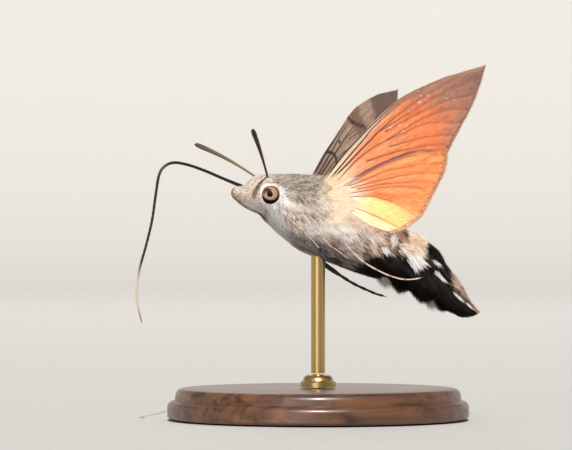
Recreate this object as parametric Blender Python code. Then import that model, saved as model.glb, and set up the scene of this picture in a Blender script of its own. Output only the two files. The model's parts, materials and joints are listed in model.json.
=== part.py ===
"""Hummingbird hawk moth, life size, hovering with raised wings on a small display stand.

The moth faces -X, its left side is -Y and +Z is up. The origin is the centre of the stand's
underside. Shapes are worked out in millimetres in the moth's own frame, which has no bank, and
go to metres when a mesh is made.
"""

import math

import bmesh
import bpy
from mathutils import Matrix, Vector

MM = 0.001
GAP = 0.15  # between pieces that meet, in mm
BANK_DEG = 4.0  # roll about the long axis, left side up
BANK_AXIS_Z = 23.3

# Stand
BASE_RADIUS = 17.0
BASE_HEIGHT = 3.4
BASE_CHAMFER = 0.5
COLLAR_RADIUS = 2.0
COLLAR_HEIGHT = 1.4
ROD_RADIUS = 0.8
ROD_TOP = 21.5  # runs into the chest's clearance, which trims it

# Body: x and z of the spine, half height and half width, coat included, from palps to tail
BODY_STATIONS = (
    (-10.35, 25.65, 0.30, 0.35),
    (-9.35, 25.30, 0.98, 0.95),
    (-8.35, 25.10, 1.60, 1.50),
    (-6.85, 25.15, 2.30, 2.15),
    (-5.90, 25.05, 2.62, 2.40),
    (-4.40, 24.58, 3.27, 2.92),
    (-2.55, 23.84, 3.96, 3.50),
    (-0.30, 23.00, 4.55, 3.90),
    (2.50, 21.85, 4.25, 3.85),
    (5.50, 20.30, 3.80, 3.70),
    (9.00, 18.55, 3.20, 3.50),
    (11.80, 17.00, 2.75, 3.30),
    (14.10, 15.30, 2.25, 3.10),
    (16.20, 13.55, 1.65, 3.20),
    (18.30, 11.90, 0.85, 2.90),
)
RING_SIDES = 24
RING_STEP = 0.95
PALP_END = 2.3  # lengths along the spine where the body is parted, in mm
NECK = 5.3
WAIST = 14.0
ABDOMEN_MIDDLE = 20.4
TAIL_ROOT = 26.2

# Eyes
EYE_RADIUS = 1.20
EYE_PLACE = (-6.36, 1.42, 25.05)  # x, distance out from the middle, z

# Wings: base, directions and planforms. p runs from base to wing tip, q back across the wing.
WING_BASE = (-0.50, 2.35, 26.20)
WING_POSES = {"left": (33.2, 33.7, 6.0), "right": (33.0, 32.9, -4.4)}  # swept back, raised, twisted, in degrees
WING_THICKNESS = 0.5
WING_SPLIT = 0.34  # fore wing above, hind wing below the wing frame's own plane
WING_BOW = 0.9  # how far the middle of the fore wing's span bows up
HIND_DROP = 1.6  # how far the hind wing's rear edge curls towards the body
FORE_FRONT = (
    (-0.9, 0.1), (2.9, -1.1), (5.8, -2.0), (9.1, -2.75), (13.0, -3.1), (17.7, -2.1), (20.6, -1.0), (23.0, 0.0),
)
FORE_OUTER = ((23.0, 0.0), (20.9, 1.5), (18.6, 2.9), (15.5, 4.3), (12.8, 5.6))
FORE_REAR = ((-0.9, 1.3), (6.0, 4.0), (12.8, 5.6))
HIND_FRONT = ((-0.9, 1.35), (2.1, 1.3), (7.1, 1.9), (10.9, 3.0), (13.9, 5.1))
HIND_OUTER = ((13.9, 5.1), (12.2, 7.1), (9.8, 8.5), (7.3, 9.9), (4.9, 9.9), (3.3, 9.4))
HIND_REAR = ((-1.0, 2.4), (0.45, 3.6), (1.35, 6.0), (2.1, 7.7), (3.3, 9.4))
WING_GRID = (16, 7)

# Feelers and proboscis
ANTENNA_BASE = (-6.20, 0.75, 26.40)
ANTENNA_TIP = (-11.35, 9.15, 31.75)
ANTENNA_ARCH = 0.35
ANTENNA_RADII = (0.25, 0.25, 0.27, 0.31, 0.34, 0.33, 0.26)
PROBOSCIS_PATH = (
    (-8.3, 25.75), (-9.45, 26.25), (-11.5, 27.05), (-13.5, 27.85), (-15.5, 28.5), (-17.2, 28.75), (-18.35, 28.3),
    (-19.0, 27.3), (-19.45, 25.1), (-19.95, 22.3), (-20.7, 19.6), (-21.55, 16.9), (-21.95, 14.7), (-21.9, 13.1),
    (-21.45, 11.0),
)
PROBOSCIS_SPLITS = (0.0, 0.205, 0.5, 1.0)  # shares of the path where it is parted
PROBOSCIS_RADIUS = 0.27
PROBOSCIS_TIP_RADIUS = 0.25

# Legs, from where each leaves the coat to its claws: length along the spine, angle round the
# body from its back (180 is the belly) and distance off the body's surface
FORE_LEG = ((6.2, 126, -0.2), (6.8, 128, 0.3), (8.8, 134, 0.36), (10.0, 138, 0.36), (11.4, 147, 0.36))
MIDDLE_LEG = (
    (9.2, 118, -0.2), (10.0, 122, 0.36), (11.3, 131, 0.45), (12.7, 138, 0.5), (14.3, 143, 0.5),
    (15.6, 147, 0.45),
)
HIND_LEG_LEFT = (
    (12.8, 121, -0.2), (13.7, 125, 0.36), (15.0, 131, 0.45), (16.3, 137, 0.5), (17.4, 141, 0.55),
    (18.7, 144, 0.6), (20.4, 145, 0.7), (21.6, 142, 0.8), (22.5, 136, 0.9), (23.3, 127, 1.0), (24.0, 117, 1.1),
)
HIND_LEG_RIGHT = (
    (12.0, 158, -0.1), (12.7, 159, 0.45), (14.2, 161, 0.75), (16.2, 164, 1.1), (18.6, 167, 1.6),
    (20.9, 167, 1.8), (22.5, 166, 1.7),
)
LEG_RADIUS = 0.34
CLAW_RADIUS = 0.25

# Tufts standing out below the abdomen's sides: length along the spine, angle and distance off the
# surface at root, middle and tip, then half width round the body
ABDOMEN_TUFTS = (
    ((20.9, 148, -0.8), (22.8, 148, 0.35), (24.9, 147, 1.2), 0.9),
    ((23.4, 140, -0.8), (25.6, 140, 0.4), (27.8, 139, 1.3), 1.0),
)
TAIL_TUFT = ((26.7, 132, -0.8), (28.6, 131, 0.4), (30.6, 130, 1.2), 0.9)
TUFT_HALF_THICKNESS = 0.36

COLOURS = {
    "coat_grey": ((0.36, 0.32, 0.28), 0.85, 0.0),
    "coat_pale": ((0.62, 0.56, 0.50), 0.85, 0.0),
    "coat_dark": ((0.06, 0.05, 0.045), 0.80, 0.0),
    "wing_brown": ((0.38, 0.26, 0.19), 0.70, 0.0),
    "wing_orange": ((0.80, 0.36, 0.13), 0.65, 0.0),
    "chitin_dark": ((0.07, 0.04, 0.03), 0.45, 0.0),
    "eye": ((0.45, 0.28, 0.15), 0.15, 0.0),
    "stand_wood": ((0.16, 0.09, 0.05), 0.45, 0.0),
    "stand_brass": ((0.62, 0.47, 0.24), 0.30, 1.0),
}


def clear_scene():
    for obj in list(bpy.data.objects):
        bpy.data.objects.remove(obj, do_unlink=True)


def material(name):
    """The Principled material of that name, made when it is first asked for."""
    found = bpy.data.materials.get(name)
    if found:
        return found
    colour, roughness, metallic = COLOURS[name]
    made = bpy.data.materials.new(name)
    made.use_nodes = True
    shader = made.node_tree.nodes["Principled BSDF"]
    shader.inputs["Base Color"].default_value = (*colour, 1.0)
    shader.inputs["Roughness"].default_value = roughness
    shader.inputs["Metallic"].default_value = metallic
    return made


def spline(points, t):
    """A point on the smooth Catmull-Rom curve through the points, with t from 0 to 1."""
    spans = len(points) - 1
    place = min(max(t, 0.0), 1.0) * spans
    i = min(int(place), spans - 1)
    f = place - i
    p1, p2 = Vector(points[i]), Vector(points[i + 1])
    p0 = Vector(points[i - 1]) if i > 0 else 2 * p1 - p2
    p3 = Vector(points[i + 2]) if i + 2 <= spans else 2 * p2 - p1
    return 0.5 * (
        2 * p1 + (p2 - p0) * f + (2 * p0 - 5 * p1 + 4 * p2 - p3) * f**2 + (3 * p1 - p0 - 3 * p2 + p3) * f**3
    )


def banked(point):
    """The moth's own frame to the stand's frame, in metres."""
    lowered = Vector(point) - Vector((0, 0, BANK_AXIS_Z))
    turned = Matrix.Rotation(math.radians(-BANK_DEG), 3, "X") @ lowered
    return (turned + Vector((0, 0, BANK_AXIS_Z))) * MM


def finish_object(name, bm, material_name, smooth_angle=50.0):
    """Makes a named object of a bmesh whose points are in metres, with its faces pointing out."""
    bmesh.ops.recalc_face_normals(bm, faces=bm.faces)
    mesh = bpy.data.meshes.new(name)
    bm.to_mesh(mesh)
    bm.free()
    mesh.shade_smooth()
    mesh.set_sharp_from_angle(angle=math.radians(smooth_angle))
    obj = bpy.data.objects.new(name, mesh)
    bpy.context.scene.collection.objects.link(obj)
    if material_name:
        mesh.materials.append(material(material_name))
    return obj


def as_cutter(obj):
    obj.hide_render = True
    obj.display_type = "WIRE"
    return obj


def cut(obj, cutter):
    """Takes the cutter's shape out of the object."""
    boolean = obj.modifiers.new("cut_" + cutter.name, "BOOLEAN")
    boolean.operation = "DIFFERENCE"
    boolean.solver = "EXACT"
    boolean.object = cutter


def bridged_rings(bm, rings):
    """Joins closed loops of points into a tube, and closes both ends."""
    loops = [[bm.verts.new(banked(p)) for p in ring] for ring in rings]
    for first, second in zip(loops, loops[1:]):
        for i in range(len(first)):
            j = (i + 1) % len(first)
            bm.faces.new((first[i], first[j], second[j], second[i]))
    bm.faces.new(list(reversed(loops[0])))
    bm.faces.new(loops[-1])


def join(obj, piece):
    """Makes one solid of the object and a piece that runs into it."""
    boolean = obj.modifiers.new("join_" + piece.name, "BOOLEAN")
    boolean.operation = "UNION"
    boolean.solver = "EXACT"
    boolean.object = as_cutter(piece)


def spine_length_table(steps=240):
    """Length along the spine at even steps of the station curve."""
    table, total, last = [0.0], 0.0, spline(BODY_STATIONS, 0.0)
    for k in range(1, steps + 1):
        here = spline(BODY_STATIONS, k / steps)
        total += math.hypot(here[0] - last[0], here[1] - last[1])
        table.append(total)
        last = here
    return table


SPINE_TABLE = spine_length_table()
SPINE_LENGTH = SPINE_TABLE[-1]


def spine_parameter(length):
    """The station curve's parameter at a length along the spine."""
    steps = len(SPINE_TABLE) - 1
    for k in range(steps):
        if SPINE_TABLE[k + 1] >= length:
            share = (length - SPINE_TABLE[k]) / (SPINE_TABLE[k + 1] - SPINE_TABLE[k])
            return (k + share) / steps
    return 1.0


def body_point(length, angle, lift=0.0):
    """A place off the body's left side, by the angle in radians round from the middle of the back."""
    t = spine_parameter(length)
    x, z, height, width = spline(BODY_STATIONS, t)
    before, after = spline(BODY_STATIONS, t - 0.01), spline(BODY_STATIONS, t + 0.01)
    along = Vector((after[0] - before[0], 0, after[1] - before[1])).normalized()
    up = Vector((-along.z, 0, along.x))
    out = Vector((0, -math.sin(angle) * (width + lift), 0))
    return Vector((x, 0, z)) + up * math.cos(angle) * (height + lift) + out


def body_ring(length, swell=0.0):
    """The body's oval outline at a length along the spine, swollen outwards by some mm."""
    return [body_point(length, 2 * math.pi * k / RING_SIDES, swell) for k in range(RING_SIDES)]


def body_length(start, end, swell=0.0, overshoot=0.0):
    """A bmesh of the body between two lengths along the spine."""
    count = max(2, round((end - start) / RING_STEP))
    rings = [body_ring(start + (end - start) * k / count, swell) for k in range(count + 1)]
    if overshoot:
        for ring, inner in ((rings[0], rings[1]), (rings[-1], rings[-2])):
            middle = sum(ring, Vector()) / RING_SIDES
            away = (middle - sum(inner, Vector()) / RING_SIDES).normalized()
            for point in ring:
                point += away * overshoot
    bm = bmesh.new()
    bridged_rings(bm, rings)
    return bm


def make_clearance():
    """The body swollen by the gap, which trims whatever is rooted in it."""
    bm = body_length(0.0, SPINE_LENGTH, swell=GAP, overshoot=GAP)
    return as_cutter(finish_object("body_clearance", bm, None))


def make_body():
    """Palps, head, thorax and abdomen: one body parted by thin cuts across the spine."""
    half = GAP / 2
    parts = (
        ("head", PALP_END + half, NECK - half, "coat_grey"),
        ("thorax", NECK + half, WAIST - half, "coat_grey"),
        ("abdomen_front", WAIST + half, ABDOMEN_MIDDLE - half, "coat_pale"),
        ("abdomen_rear", ABDOMEN_MIDDLE + half, TAIL_ROOT - half, "coat_dark"),
    )
    made = {name: finish_object(name, body_length(a, b), colour) for name, a, b, colour in parts}
    for side, sign in (("left", -1), ("right", 1)):
        made["palp_" + side] = half_of_length("palp_" + side, 0.0, PALP_END - half, sign, "coat_pale")
        made["tail_fan_" + side] = half_of_length(
            "tail_fan_" + side, TAIL_ROOT + half, SPINE_LENGTH, sign, "coat_dark"
        )
    return made


def half_of_length(name, start, end, sign, colour):
    """The left or right half of a length of the body, parted by a thin cut along the middle."""
    bm = body_length(start, end)
    across = Matrix.Rotation(math.radians(-BANK_DEG), 3, "X") @ Vector((0, sign, 0))
    middle = banked((0, sign * GAP / 2, BANK_AXIS_Z))
    cutting = bmesh.ops.bisect_plane(
        bm, geom=bm.verts[:] + bm.edges[:] + bm.faces[:], dist=1e-7, plane_co=middle, plane_no=across, clear_inner=True
    )
    edges = [g for g in cutting["geom_cut"] if isinstance(g, bmesh.types.BMEdge)]
    bmesh.ops.contextual_create(bm, geom=edges)
    return finish_object(name, bm, colour)


def make_ball(name, radius, place, material_name, segments=20):
    bm = bmesh.new()
    bmesh.ops.create_uvsphere(bm, u_segments=segments, v_segments=segments // 2, radius=radius * MM)
    bmesh.ops.rotate(bm, verts=bm.verts, cent=(0, 0, 0), matrix=Matrix.Rotation(math.pi / 2, 3, "X"))
    bmesh.ops.translate(bm, verts=bm.verts, vec=banked(place))
    return finish_object(name, bm, material_name)


def make_eyes(body):
    for side, sign in (("left", -1), ("right", 1)):
        place = (EYE_PLACE[0], sign * EYE_PLACE[1], EYE_PLACE[2])
        make_ball("eye_" + side, EYE_RADIUS, place, "eye")
        socket = as_cutter(make_ball("socket_" + side, EYE_RADIUS + GAP, place, None))
        cut(body["head"], socket)


def wing_directions(side):
    """Unit directions of a wing in the moth's frame: to the tip, back across it, and its upper side's normal."""
    sweep, raised, twist = (math.radians(degrees) for degrees in WING_POSES[side])
    tip = Vector((math.cos(raised) * math.cos(sweep), math.cos(raised) * math.sin(sweep), math.sin(raised)))
    down = Vector((0, 0, -1))
    flat = (down - tip * down.dot(tip)).normalized()
    chord = flat * math.cos(twist) + tip.cross(flat) * math.sin(twist)
    return tip, chord, chord.cross(tip)


def patch(front, outer, rear, along, across):
    """A point of the Coons patch between a wing's front, outer and rear edges."""
    edge_front, edge_rear = spline(front, along), spline(rear, along)
    edge_outer = spline(outer, across)
    straight = Vector(outer[0]) * (1 - across) + Vector(outer[-1]) * across
    return edge_front * (1 - across) + edge_rear * across + (edge_outer - straight) * along


def wing_point(side, p, q, lift):
    """A place on a wing, from its planform, in the moth's frame with y pointing out of the body."""
    tip, chord, upper = wing_directions(side)
    return Vector(WING_BASE) + tip * p + chord * q + upper * lift


def fore_lift(p, q):
    return WING_SPLIT + WING_BOW * math.sin(math.pi * min(max(p / 23.0, 0.0), 1.0))


def hind_lift(p, q):
    bow = WING_BOW * math.sin(math.pi * min(max(p / 23.0, 0.0), 1.0))
    return bow - WING_SPLIT - HIND_DROP * max(0.0, (q - 3.0) / 7.0) ** 2


def make_wing(name, side, edges, lift, colour, clearance):
    """A thin curved plate of the wing's outline, trimmed where it meets the thorax."""
    columns, rows = WING_GRID
    sign = -1 if side == "left" else 1
    bm = bmesh.new()
    bmesh.ops.create_grid(bm, x_segments=columns, y_segments=rows, size=0.5)
    for vert in bm.verts:
        p, q = patch(*edges, vert.co.x + 0.5, vert.co.y + 0.5)
        place = wing_point(side, p, q, lift(p, q))
        vert.co = banked((place.x, sign * place.y, place.z))
    bmesh.ops.recalc_face_normals(bm, faces=bm.faces)
    wing = finish_object(name, bm, colour)
    thick = wing.modifiers.new("thickness", "SOLIDIFY")
    thick.thickness = WING_THICKNESS * MM
    thick.offset = 0.0
    cut(wing, clearance)


def make_wings(clearance):
    for side in ("left", "right"):
        make_wing("forewing_" + side, side, (FORE_FRONT, FORE_OUTER, FORE_REAR), fore_lift, "wing_brown", clearance)
        make_wing("hindwing_" + side, side, (HIND_FRONT, HIND_OUTER, HIND_REAR), hind_lift, "wing_orange", clearance)


def tube_rings(points, radii, sides, steps=None, start=0.0, end=1.0):
    """Rings of points round a smooth curve, or a share of it, each square to it."""
    steps = steps or 3 * (len(points) - 1)
    rings = []
    for k in range(steps + 1):
        share = k / steps
        t = start + (end - start) * share
        middle = spline(points, t)
        along = (spline(points, min(t + 0.01, 1.0)) - spline(points, max(t - 0.01, 0.0))).normalized()
        side = along.cross(Vector((0, 1, 0)) if abs(along.y) < 0.8 else Vector((1, 0, 0))).normalized()
        other = along.cross(side)
        radius = spline([(r, 0.0) for r in radii], share)[0]
        ring = []
        for j in range(sides):
            angle = 2 * math.pi * j / sides
            ring.append(middle + (side * math.cos(angle) + other * math.sin(angle)) * radius)
        rings.append(ring)
    return rings


def make_tube(name, points, radii, colour, clearance=None, sides=8, **shape):
    bm = bmesh.new()
    bridged_rings(bm, tube_rings(points, radii, sides, **shape))
    tube = finish_object(name, bm, colour)
    if clearance:
        cut(tube, clearance)
    return tube


def make_antennae(clearance):
    for side, sign in (("left", -1), ("right", 1)):
        base, tip = Vector(ANTENNA_BASE), Vector(ANTENNA_TIP)
        points = []
        for k in range(9):
            t = k / 8
            place = base.lerp(tip, t) + Vector((0, 0, ANTENNA_ARCH * math.sin(math.pi * t)))
            points.append((place.x, sign * place.y, place.z))
        make_tube("antenna_" + side, points, ANTENNA_RADII, "chitin_dark", clearance, steps=16)


def make_proboscis(clearance):
    """The sucking tube in three lengths, with a gap between them."""
    path = [Vector((x, 0, z)) for x, z in PROBOSCIS_PATH]
    spacing = GAP / 2 / (path[3] - path[2]).length / (len(path) - 1)
    for k, name in enumerate(("root", "bend", "tip")):
        start = PROBOSCIS_SPLITS[k] + (spacing if k else 0.0)
        end = PROBOSCIS_SPLITS[k + 1] - (spacing if k < 2 else 0.0)
        radii = (PROBOSCIS_RADIUS, PROBOSCIS_TIP_RADIUS if name == "tip" else PROBOSCIS_RADIUS)
        trim = None if k else clearance
        make_tube("proboscis_" + name, path, radii, "chitin_dark", trim, steps=(4, 14, 18)[k], start=start, end=end)


def off_body(places, sign):
    """Points given by length along the spine, angle in degrees and lift, on the left or right side."""
    points = [body_point(length, math.radians(angle), lift) for length, angle, lift in places]
    return [(p.x, -sign * p.y, p.z) for p in points]


def make_legs(clearance):
    legs = {"leg_fore": (FORE_LEG, FORE_LEG), "leg_middle": (MIDDLE_LEG, MIDDLE_LEG)}
    legs["leg_hind"] = (HIND_LEG_LEFT, HIND_LEG_RIGHT)
    for name, (left, right) in legs.items():
        for side, sign, places in (("left", -1, left), ("right", 1, right)):
            radii = (LEG_RADIUS, LEG_RADIUS, CLAW_RADIUS, CLAW_RADIUS)
            make_tube(f"{name}_{side}", off_body(places, sign), radii, "chitin_dark", clearance)


def leaf_rings(root, middle, tip, half_width, sign, steps=8, sides=10):
    """Flat oval rings along a tuft, wide round the body and thin off its surface, drawn to a tip."""
    rings = []
    for k in range(steps + 1):
        t = k / steps
        length, degrees, lift = spline((root, middle, tip), t)
        angle = math.radians(degrees)
        centre = body_point(length, angle, lift)
        outward = (body_point(length, angle, lift + 1) - centre).normalized()
        around = (body_point(length, angle + 0.05, lift) - body_point(length, angle - 0.05, lift)).normalized()
        shrink = math.sqrt(max(1 - t**3, 0.0)) * 0.85 + 0.15
        ring = []
        for j in range(sides):
            turn = 2 * math.pi * j / sides
            across = around * math.cos(turn) * half_width * shrink
            place = centre + across + outward * math.sin(turn) * TUFT_HALF_THICKNESS * (0.4 + 0.6 * shrink)
            ring.append((place.x, -sign * place.y, place.z))
        rings.append(ring)
    return rings


def make_side_tuft(name, tuft, sign):
    root, middle, tip, half_width = tuft
    bm = bmesh.new()
    bridged_rings(bm, leaf_rings(root, middle, tip, half_width, sign))
    return finish_object(name, bm, "coat_dark")


def make_side_tufts(body):
    """Flat pointed tufts below the abdomen's sides, each one with the piece it grows from."""
    for side, sign in (("left", -1), ("right", 1)):
        for number, tuft in enumerate(ABDOMEN_TUFTS, 1):
            join(body["abdomen_rear"], make_side_tuft(f"tuft_{side}_{number}", tuft, sign))
        join(body["tail_fan_" + side], make_side_tuft(f"tuft_{side}_tail", TAIL_TUFT, sign))


def turned(name, profile, material_name, segments=64):
    """A solid turned about the Z axis from (radius, height) points in mm, bottom to top."""
    bm = bmesh.new()
    verts = [bm.verts.new((r * MM, 0, z * MM)) for r, z in profile]
    edges = [bm.edges.new(pair) for pair in zip(verts, verts[1:])]
    bmesh.ops.spin(
        bm, geom=verts + edges, cent=(0, 0, 0), axis=(0, 0, 1), angle=2 * math.pi, steps=segments, use_merge=True
    )
    bmesh.ops.remove_doubles(bm, verts=bm.verts, dist=1e-7)
    return finish_object(name, bm, material_name, smooth_angle=30.0)


def make_stand(clearance):
    """A chamfered disc, a collar on it and one rod up to the chest."""
    top = BASE_HEIGHT
    base = ((0, 0), (BASE_RADIUS, 0), (BASE_RADIUS, top - BASE_CHAMFER), (BASE_RADIUS - BASE_CHAMFER, top), (0, top))
    turned("stand_base", base, "stand_wood", segments=72)
    foot = top + GAP
    shoulder = foot + COLLAR_HEIGHT
    rim = COLLAR_RADIUS - 0.4
    collar = ((0, foot), (COLLAR_RADIUS, foot), (COLLAR_RADIUS, shoulder - 0.4), (rim, shoulder), (0, shoulder))
    turned("stand_collar", collar, "stand_brass", segments=32)
    start = shoulder + GAP
    profile = ((0, start), (ROD_RADIUS, start), (ROD_RADIUS, ROD_TOP), (0, ROD_TOP))
    cut(turned("stand_rod", profile, "stand_brass", segments=20), clearance)


def main():
    clear_scene()
    clearance = make_clearance()
    body = make_body()
    make_eyes(body)
    make_wings(clearance)
    make_antennae(clearance)
    make_proboscis(clearance)
    make_legs(clearance)
    make_side_tufts(body)
    make_stand(clearance)


main()
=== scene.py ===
# %% [markdown]
# # A hummingbird hawk moth on a display stand
#
# This script dresses a packed set of solids as a life-size museum model: a hawk moth that hovers
# with raised wings over a small turned base. The solids give every size and place. The looks are
# made here: a skin with a coat of real tufts, veined wings, eyes, feelers, legs and the stand.
#
# The moth faces -X, its left side is -Y, and Z is up. Everything is in metres in the end, but a
# moth is easier to think about in millimetres, so the shapes are worked out in millimetres.

# %% Load the frame
import json
import math

import bmesh
import bpy
import numpy as np
from mathutils import Matrix, Vector

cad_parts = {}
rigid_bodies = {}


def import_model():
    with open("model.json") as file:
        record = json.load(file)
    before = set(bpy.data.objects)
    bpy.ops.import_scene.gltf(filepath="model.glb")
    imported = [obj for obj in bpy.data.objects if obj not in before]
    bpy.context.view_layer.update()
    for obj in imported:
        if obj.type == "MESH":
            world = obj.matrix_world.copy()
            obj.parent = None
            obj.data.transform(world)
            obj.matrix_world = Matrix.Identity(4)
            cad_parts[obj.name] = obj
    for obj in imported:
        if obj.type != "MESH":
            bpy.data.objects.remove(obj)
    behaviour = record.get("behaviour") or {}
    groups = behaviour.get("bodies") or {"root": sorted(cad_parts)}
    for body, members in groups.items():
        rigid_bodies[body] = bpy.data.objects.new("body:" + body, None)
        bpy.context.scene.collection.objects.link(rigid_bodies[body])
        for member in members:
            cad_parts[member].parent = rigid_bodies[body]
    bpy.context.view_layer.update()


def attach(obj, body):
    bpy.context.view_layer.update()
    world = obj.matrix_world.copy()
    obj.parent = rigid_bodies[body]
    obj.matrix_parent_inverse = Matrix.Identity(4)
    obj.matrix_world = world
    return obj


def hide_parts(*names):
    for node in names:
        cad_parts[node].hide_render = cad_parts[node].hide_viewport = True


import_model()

# %% [markdown]
# ## Camera
#
# The moth is seen from its left, about 22 degrees round towards its face, and level. A long lens
# from nearly half a metre gives the flat perspective of a close-up taken from a distance.

# %% Camera
MM = 0.001
VIEW_TURN = math.radians(22)
VIEW_DISTANCE = 450 * MM
VIEW_CENTRE = Vector((-3.9, 0.0, 21.8)) * MM

view_direction = Vector((math.sin(VIEW_TURN), math.cos(VIEW_TURN), 0.0))
camera = bpy.data.objects.new("camera", bpy.data.cameras.new("camera"))
camera.data.lens = 252
camera.data.sensor_width = 36
camera.data.clip_start = 0.01
camera.location = VIEW_CENTRE - view_direction * VIEW_DISTANCE
camera.rotation_euler = view_direction.to_track_quat("-Z", "Y").to_euler()
bpy.context.scene.collection.objects.link(camera)
bpy.context.scene.camera = camera
print("camera at", [round(v, 4) for v in camera.location])

# %% [markdown]
# ## Light and floor
#
# A small bright lamp stands high on the camera's left, so the near feeler throws its thin shadow
# on the cheek, and broad weak lamps and a pale world fill the rest softly. The floor is a wide
# dish: flat in the middle and curved up at its rim, so no hard horizon shows behind the moth.

# %% Small helpers for colours and materials
def srgb(red, green, blue):
    """A colour given as 0 to 255 in a paint program, as the linear values that shaders use."""
    return tuple(((c / 255 + 0.055) / 1.055) ** 2.4 if c > 10 else c / 3295 for c in (red, green, blue))


def new_material(name, colour=(0.5, 0.5, 0.5), roughness=0.6, **sockets):
    """A Principled material, with constant values set on the shader's own sockets."""
    material = bpy.data.materials.new(name)
    material.use_nodes = True
    shader = material.node_tree.nodes["Principled BSDF"]
    shader.inputs["Base Color"].default_value = (*colour, 1.0)
    shader.inputs["Roughness"].default_value = roughness
    for socket, value in sockets.items():
        shader.inputs[socket.replace("_", " ")].default_value = value
    return material


def add_node(material, kind, **values):
    """A node of that kind, with its properties or inputs set by name."""
    node = material.node_tree.nodes.new(kind)
    for key, value in values.items():
        if hasattr(node, key):
            setattr(node, key, value)
        else:
            node.inputs[key.replace("_", " ")].default_value = value
    return node


def link(material, source, output, target, socket):
    """Joins one node's output to another's input."""
    material.node_tree.links.new(source.outputs[output], target.inputs[socket])


def tone_ramp(material, stops):
    """A ramp of colours; each stop is a place from 0 to 1 and its colour."""
    ramp = add_node(material, "ShaderNodeValToRGB")
    for element, (place, colour) in zip(ramp.color_ramp.elements, (stops[0], stops[-1])):
        element.position, element.color = place, (*colour, 1)
    for place, colour in stops[1:-1]:
        ramp.color_ramp.elements.new(place).color = (*colour, 1)
    return ramp


def stretched(material, source, output, scale, turn=0.0):
    """A pattern's coordinates, stretched along each axis and turned about the upright one."""
    mapping = add_node(material, "ShaderNodeMapping")
    mapping.inputs["Scale"].default_value = scale
    mapping.inputs["Rotation"].default_value = (0, 0, turn)
    link(material, source, output, mapping, "Vector")
    return mapping


def rough_surface(material, source, output, strength, distance):
    """A bump on the shader, from a pattern."""
    bump = add_node(material, "ShaderNodeBump", Strength=strength, Distance=distance)
    link(material, source, output, bump, "Height")
    link(material, bump, "Normal", material.node_tree.nodes["Principled BSDF"], "Normal")


def painted_material(name, attribute, roughness, **sockets):
    """A material that takes its colour from a piece's own colour attribute."""
    material = new_material(name, roughness=roughness, **sockets)
    paint = add_node(material, "ShaderNodeAttribute", attribute_name=attribute)
    link(material, paint, "Color", material.node_tree.nodes["Principled BSDF"], "Base Color")
    return material


def show(name, bm, material=None, smooth=True):
    """An object made of a bmesh, at the origin, in the scene."""
    mesh = bpy.data.meshes.new(name)
    bm.to_mesh(mesh)
    bm.free()
    if smooth:
        mesh.shade_smooth()
    piece = bpy.data.objects.new(name, mesh)
    bpy.context.scene.collection.objects.link(piece)
    if material:
        mesh.materials.append(material)
    return piece


# %% Lamps
def lamp(name, kind, energy, colour, direction, size, place=(0, 0, 0.5)):
    """A lamp that shines in a direction. size is an angle for a sun, and a width in metres otherwise."""
    light = bpy.data.lights.new(name, kind)
    light.energy = energy
    light.color = colour
    if kind == "SUN":
        light.angle = size
    else:
        light.size = size
    holder = bpy.data.objects.new(name, light)
    holder.rotation_euler = Vector(direction).to_track_quat("-Z", "Y").to_euler()
    holder.location = place
    bpy.context.scene.collection.objects.link(holder)
    return holder


KEY_LIGHT = ("SUN", 4.3, (1.0, 0.955, 0.90), (0.270, 0.668, -0.694), math.radians(1.0))
lamp("key", *KEY_LIGHT)
lamp("fill", "AREA", 0.25, (0.90, 0.95, 1.0), (0.75, 0.45, -0.35), 0.45, (-0.55, -0.35, 0.28))
lamp("low", "AREA", 0.8, (1.0, 0.97, 0.95), (0.62, 0.70, 0.32), 0.3, (-0.36, -0.42, 0.02))
lamp("rim", "AREA", 0.55, (1.0, 0.98, 0.95), (-0.3, -0.75, -0.6), 0.4, (0.25, 0.6, 0.5))

world = bpy.data.worlds.new("studio")
world.use_nodes = True
world.node_tree.nodes["Background"].inputs["Color"].default_value = (0.80, 0.85, 0.92, 1.0)
world.node_tree.nodes["Background"].inputs["Strength"].default_value = 0.36
bpy.context.scene.world = world
bpy.context.scene.view_settings.view_transform = "Standard"

# %% Floor
FLOOR_RADIUS = 0.95
RIM_RADIUS = 0.45
RIM_STEPS = 12
FLOOR_Z = -0.0002  # just under the base, so the two never lie in one plane
floor_mesh = bmesh.new()
profile = [floor_mesh.verts.new((0, 0, FLOOR_Z))]
for step in range(RIM_STEPS + 1):
    turn = math.radians(90 * step / RIM_STEPS)
    place = (FLOOR_RADIUS + RIM_RADIUS * math.sin(turn), 0, RIM_RADIUS * (1 - math.cos(turn)) + FLOOR_Z)
    profile.append(floor_mesh.verts.new(place))
profile_edges = [floor_mesh.edges.new(pair) for pair in zip(profile, profile[1:])]
bmesh.ops.spin(
    floor_mesh, geom=profile + profile_edges, axis=(0, 0, 1), cent=(0, 0, 0),
    angle=math.tau, steps=96, use_merge=True,
)
bmesh.ops.remove_doubles(floor_mesh, verts=floor_mesh.verts, dist=1e-6)
bmesh.ops.recalc_face_normals(floor_mesh, faces=floor_mesh.faces)
bmesh.ops.reverse_faces(floor_mesh, faces=floor_mesh.faces)
floor = show("floor", floor_mesh, new_material("floor_paper", (0.50, 0.49, 0.47), 0.9))

# %% [markdown]
# ## The body's shape
#
# The body is a row of ovals strung on a curved spine, the same row that the solids were made from.
# A place on it is given by three numbers: how far along the spine, the angle round from the middle
# of the back, and the lift off the surface. The coat, the skin and the legs all use them.

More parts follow.
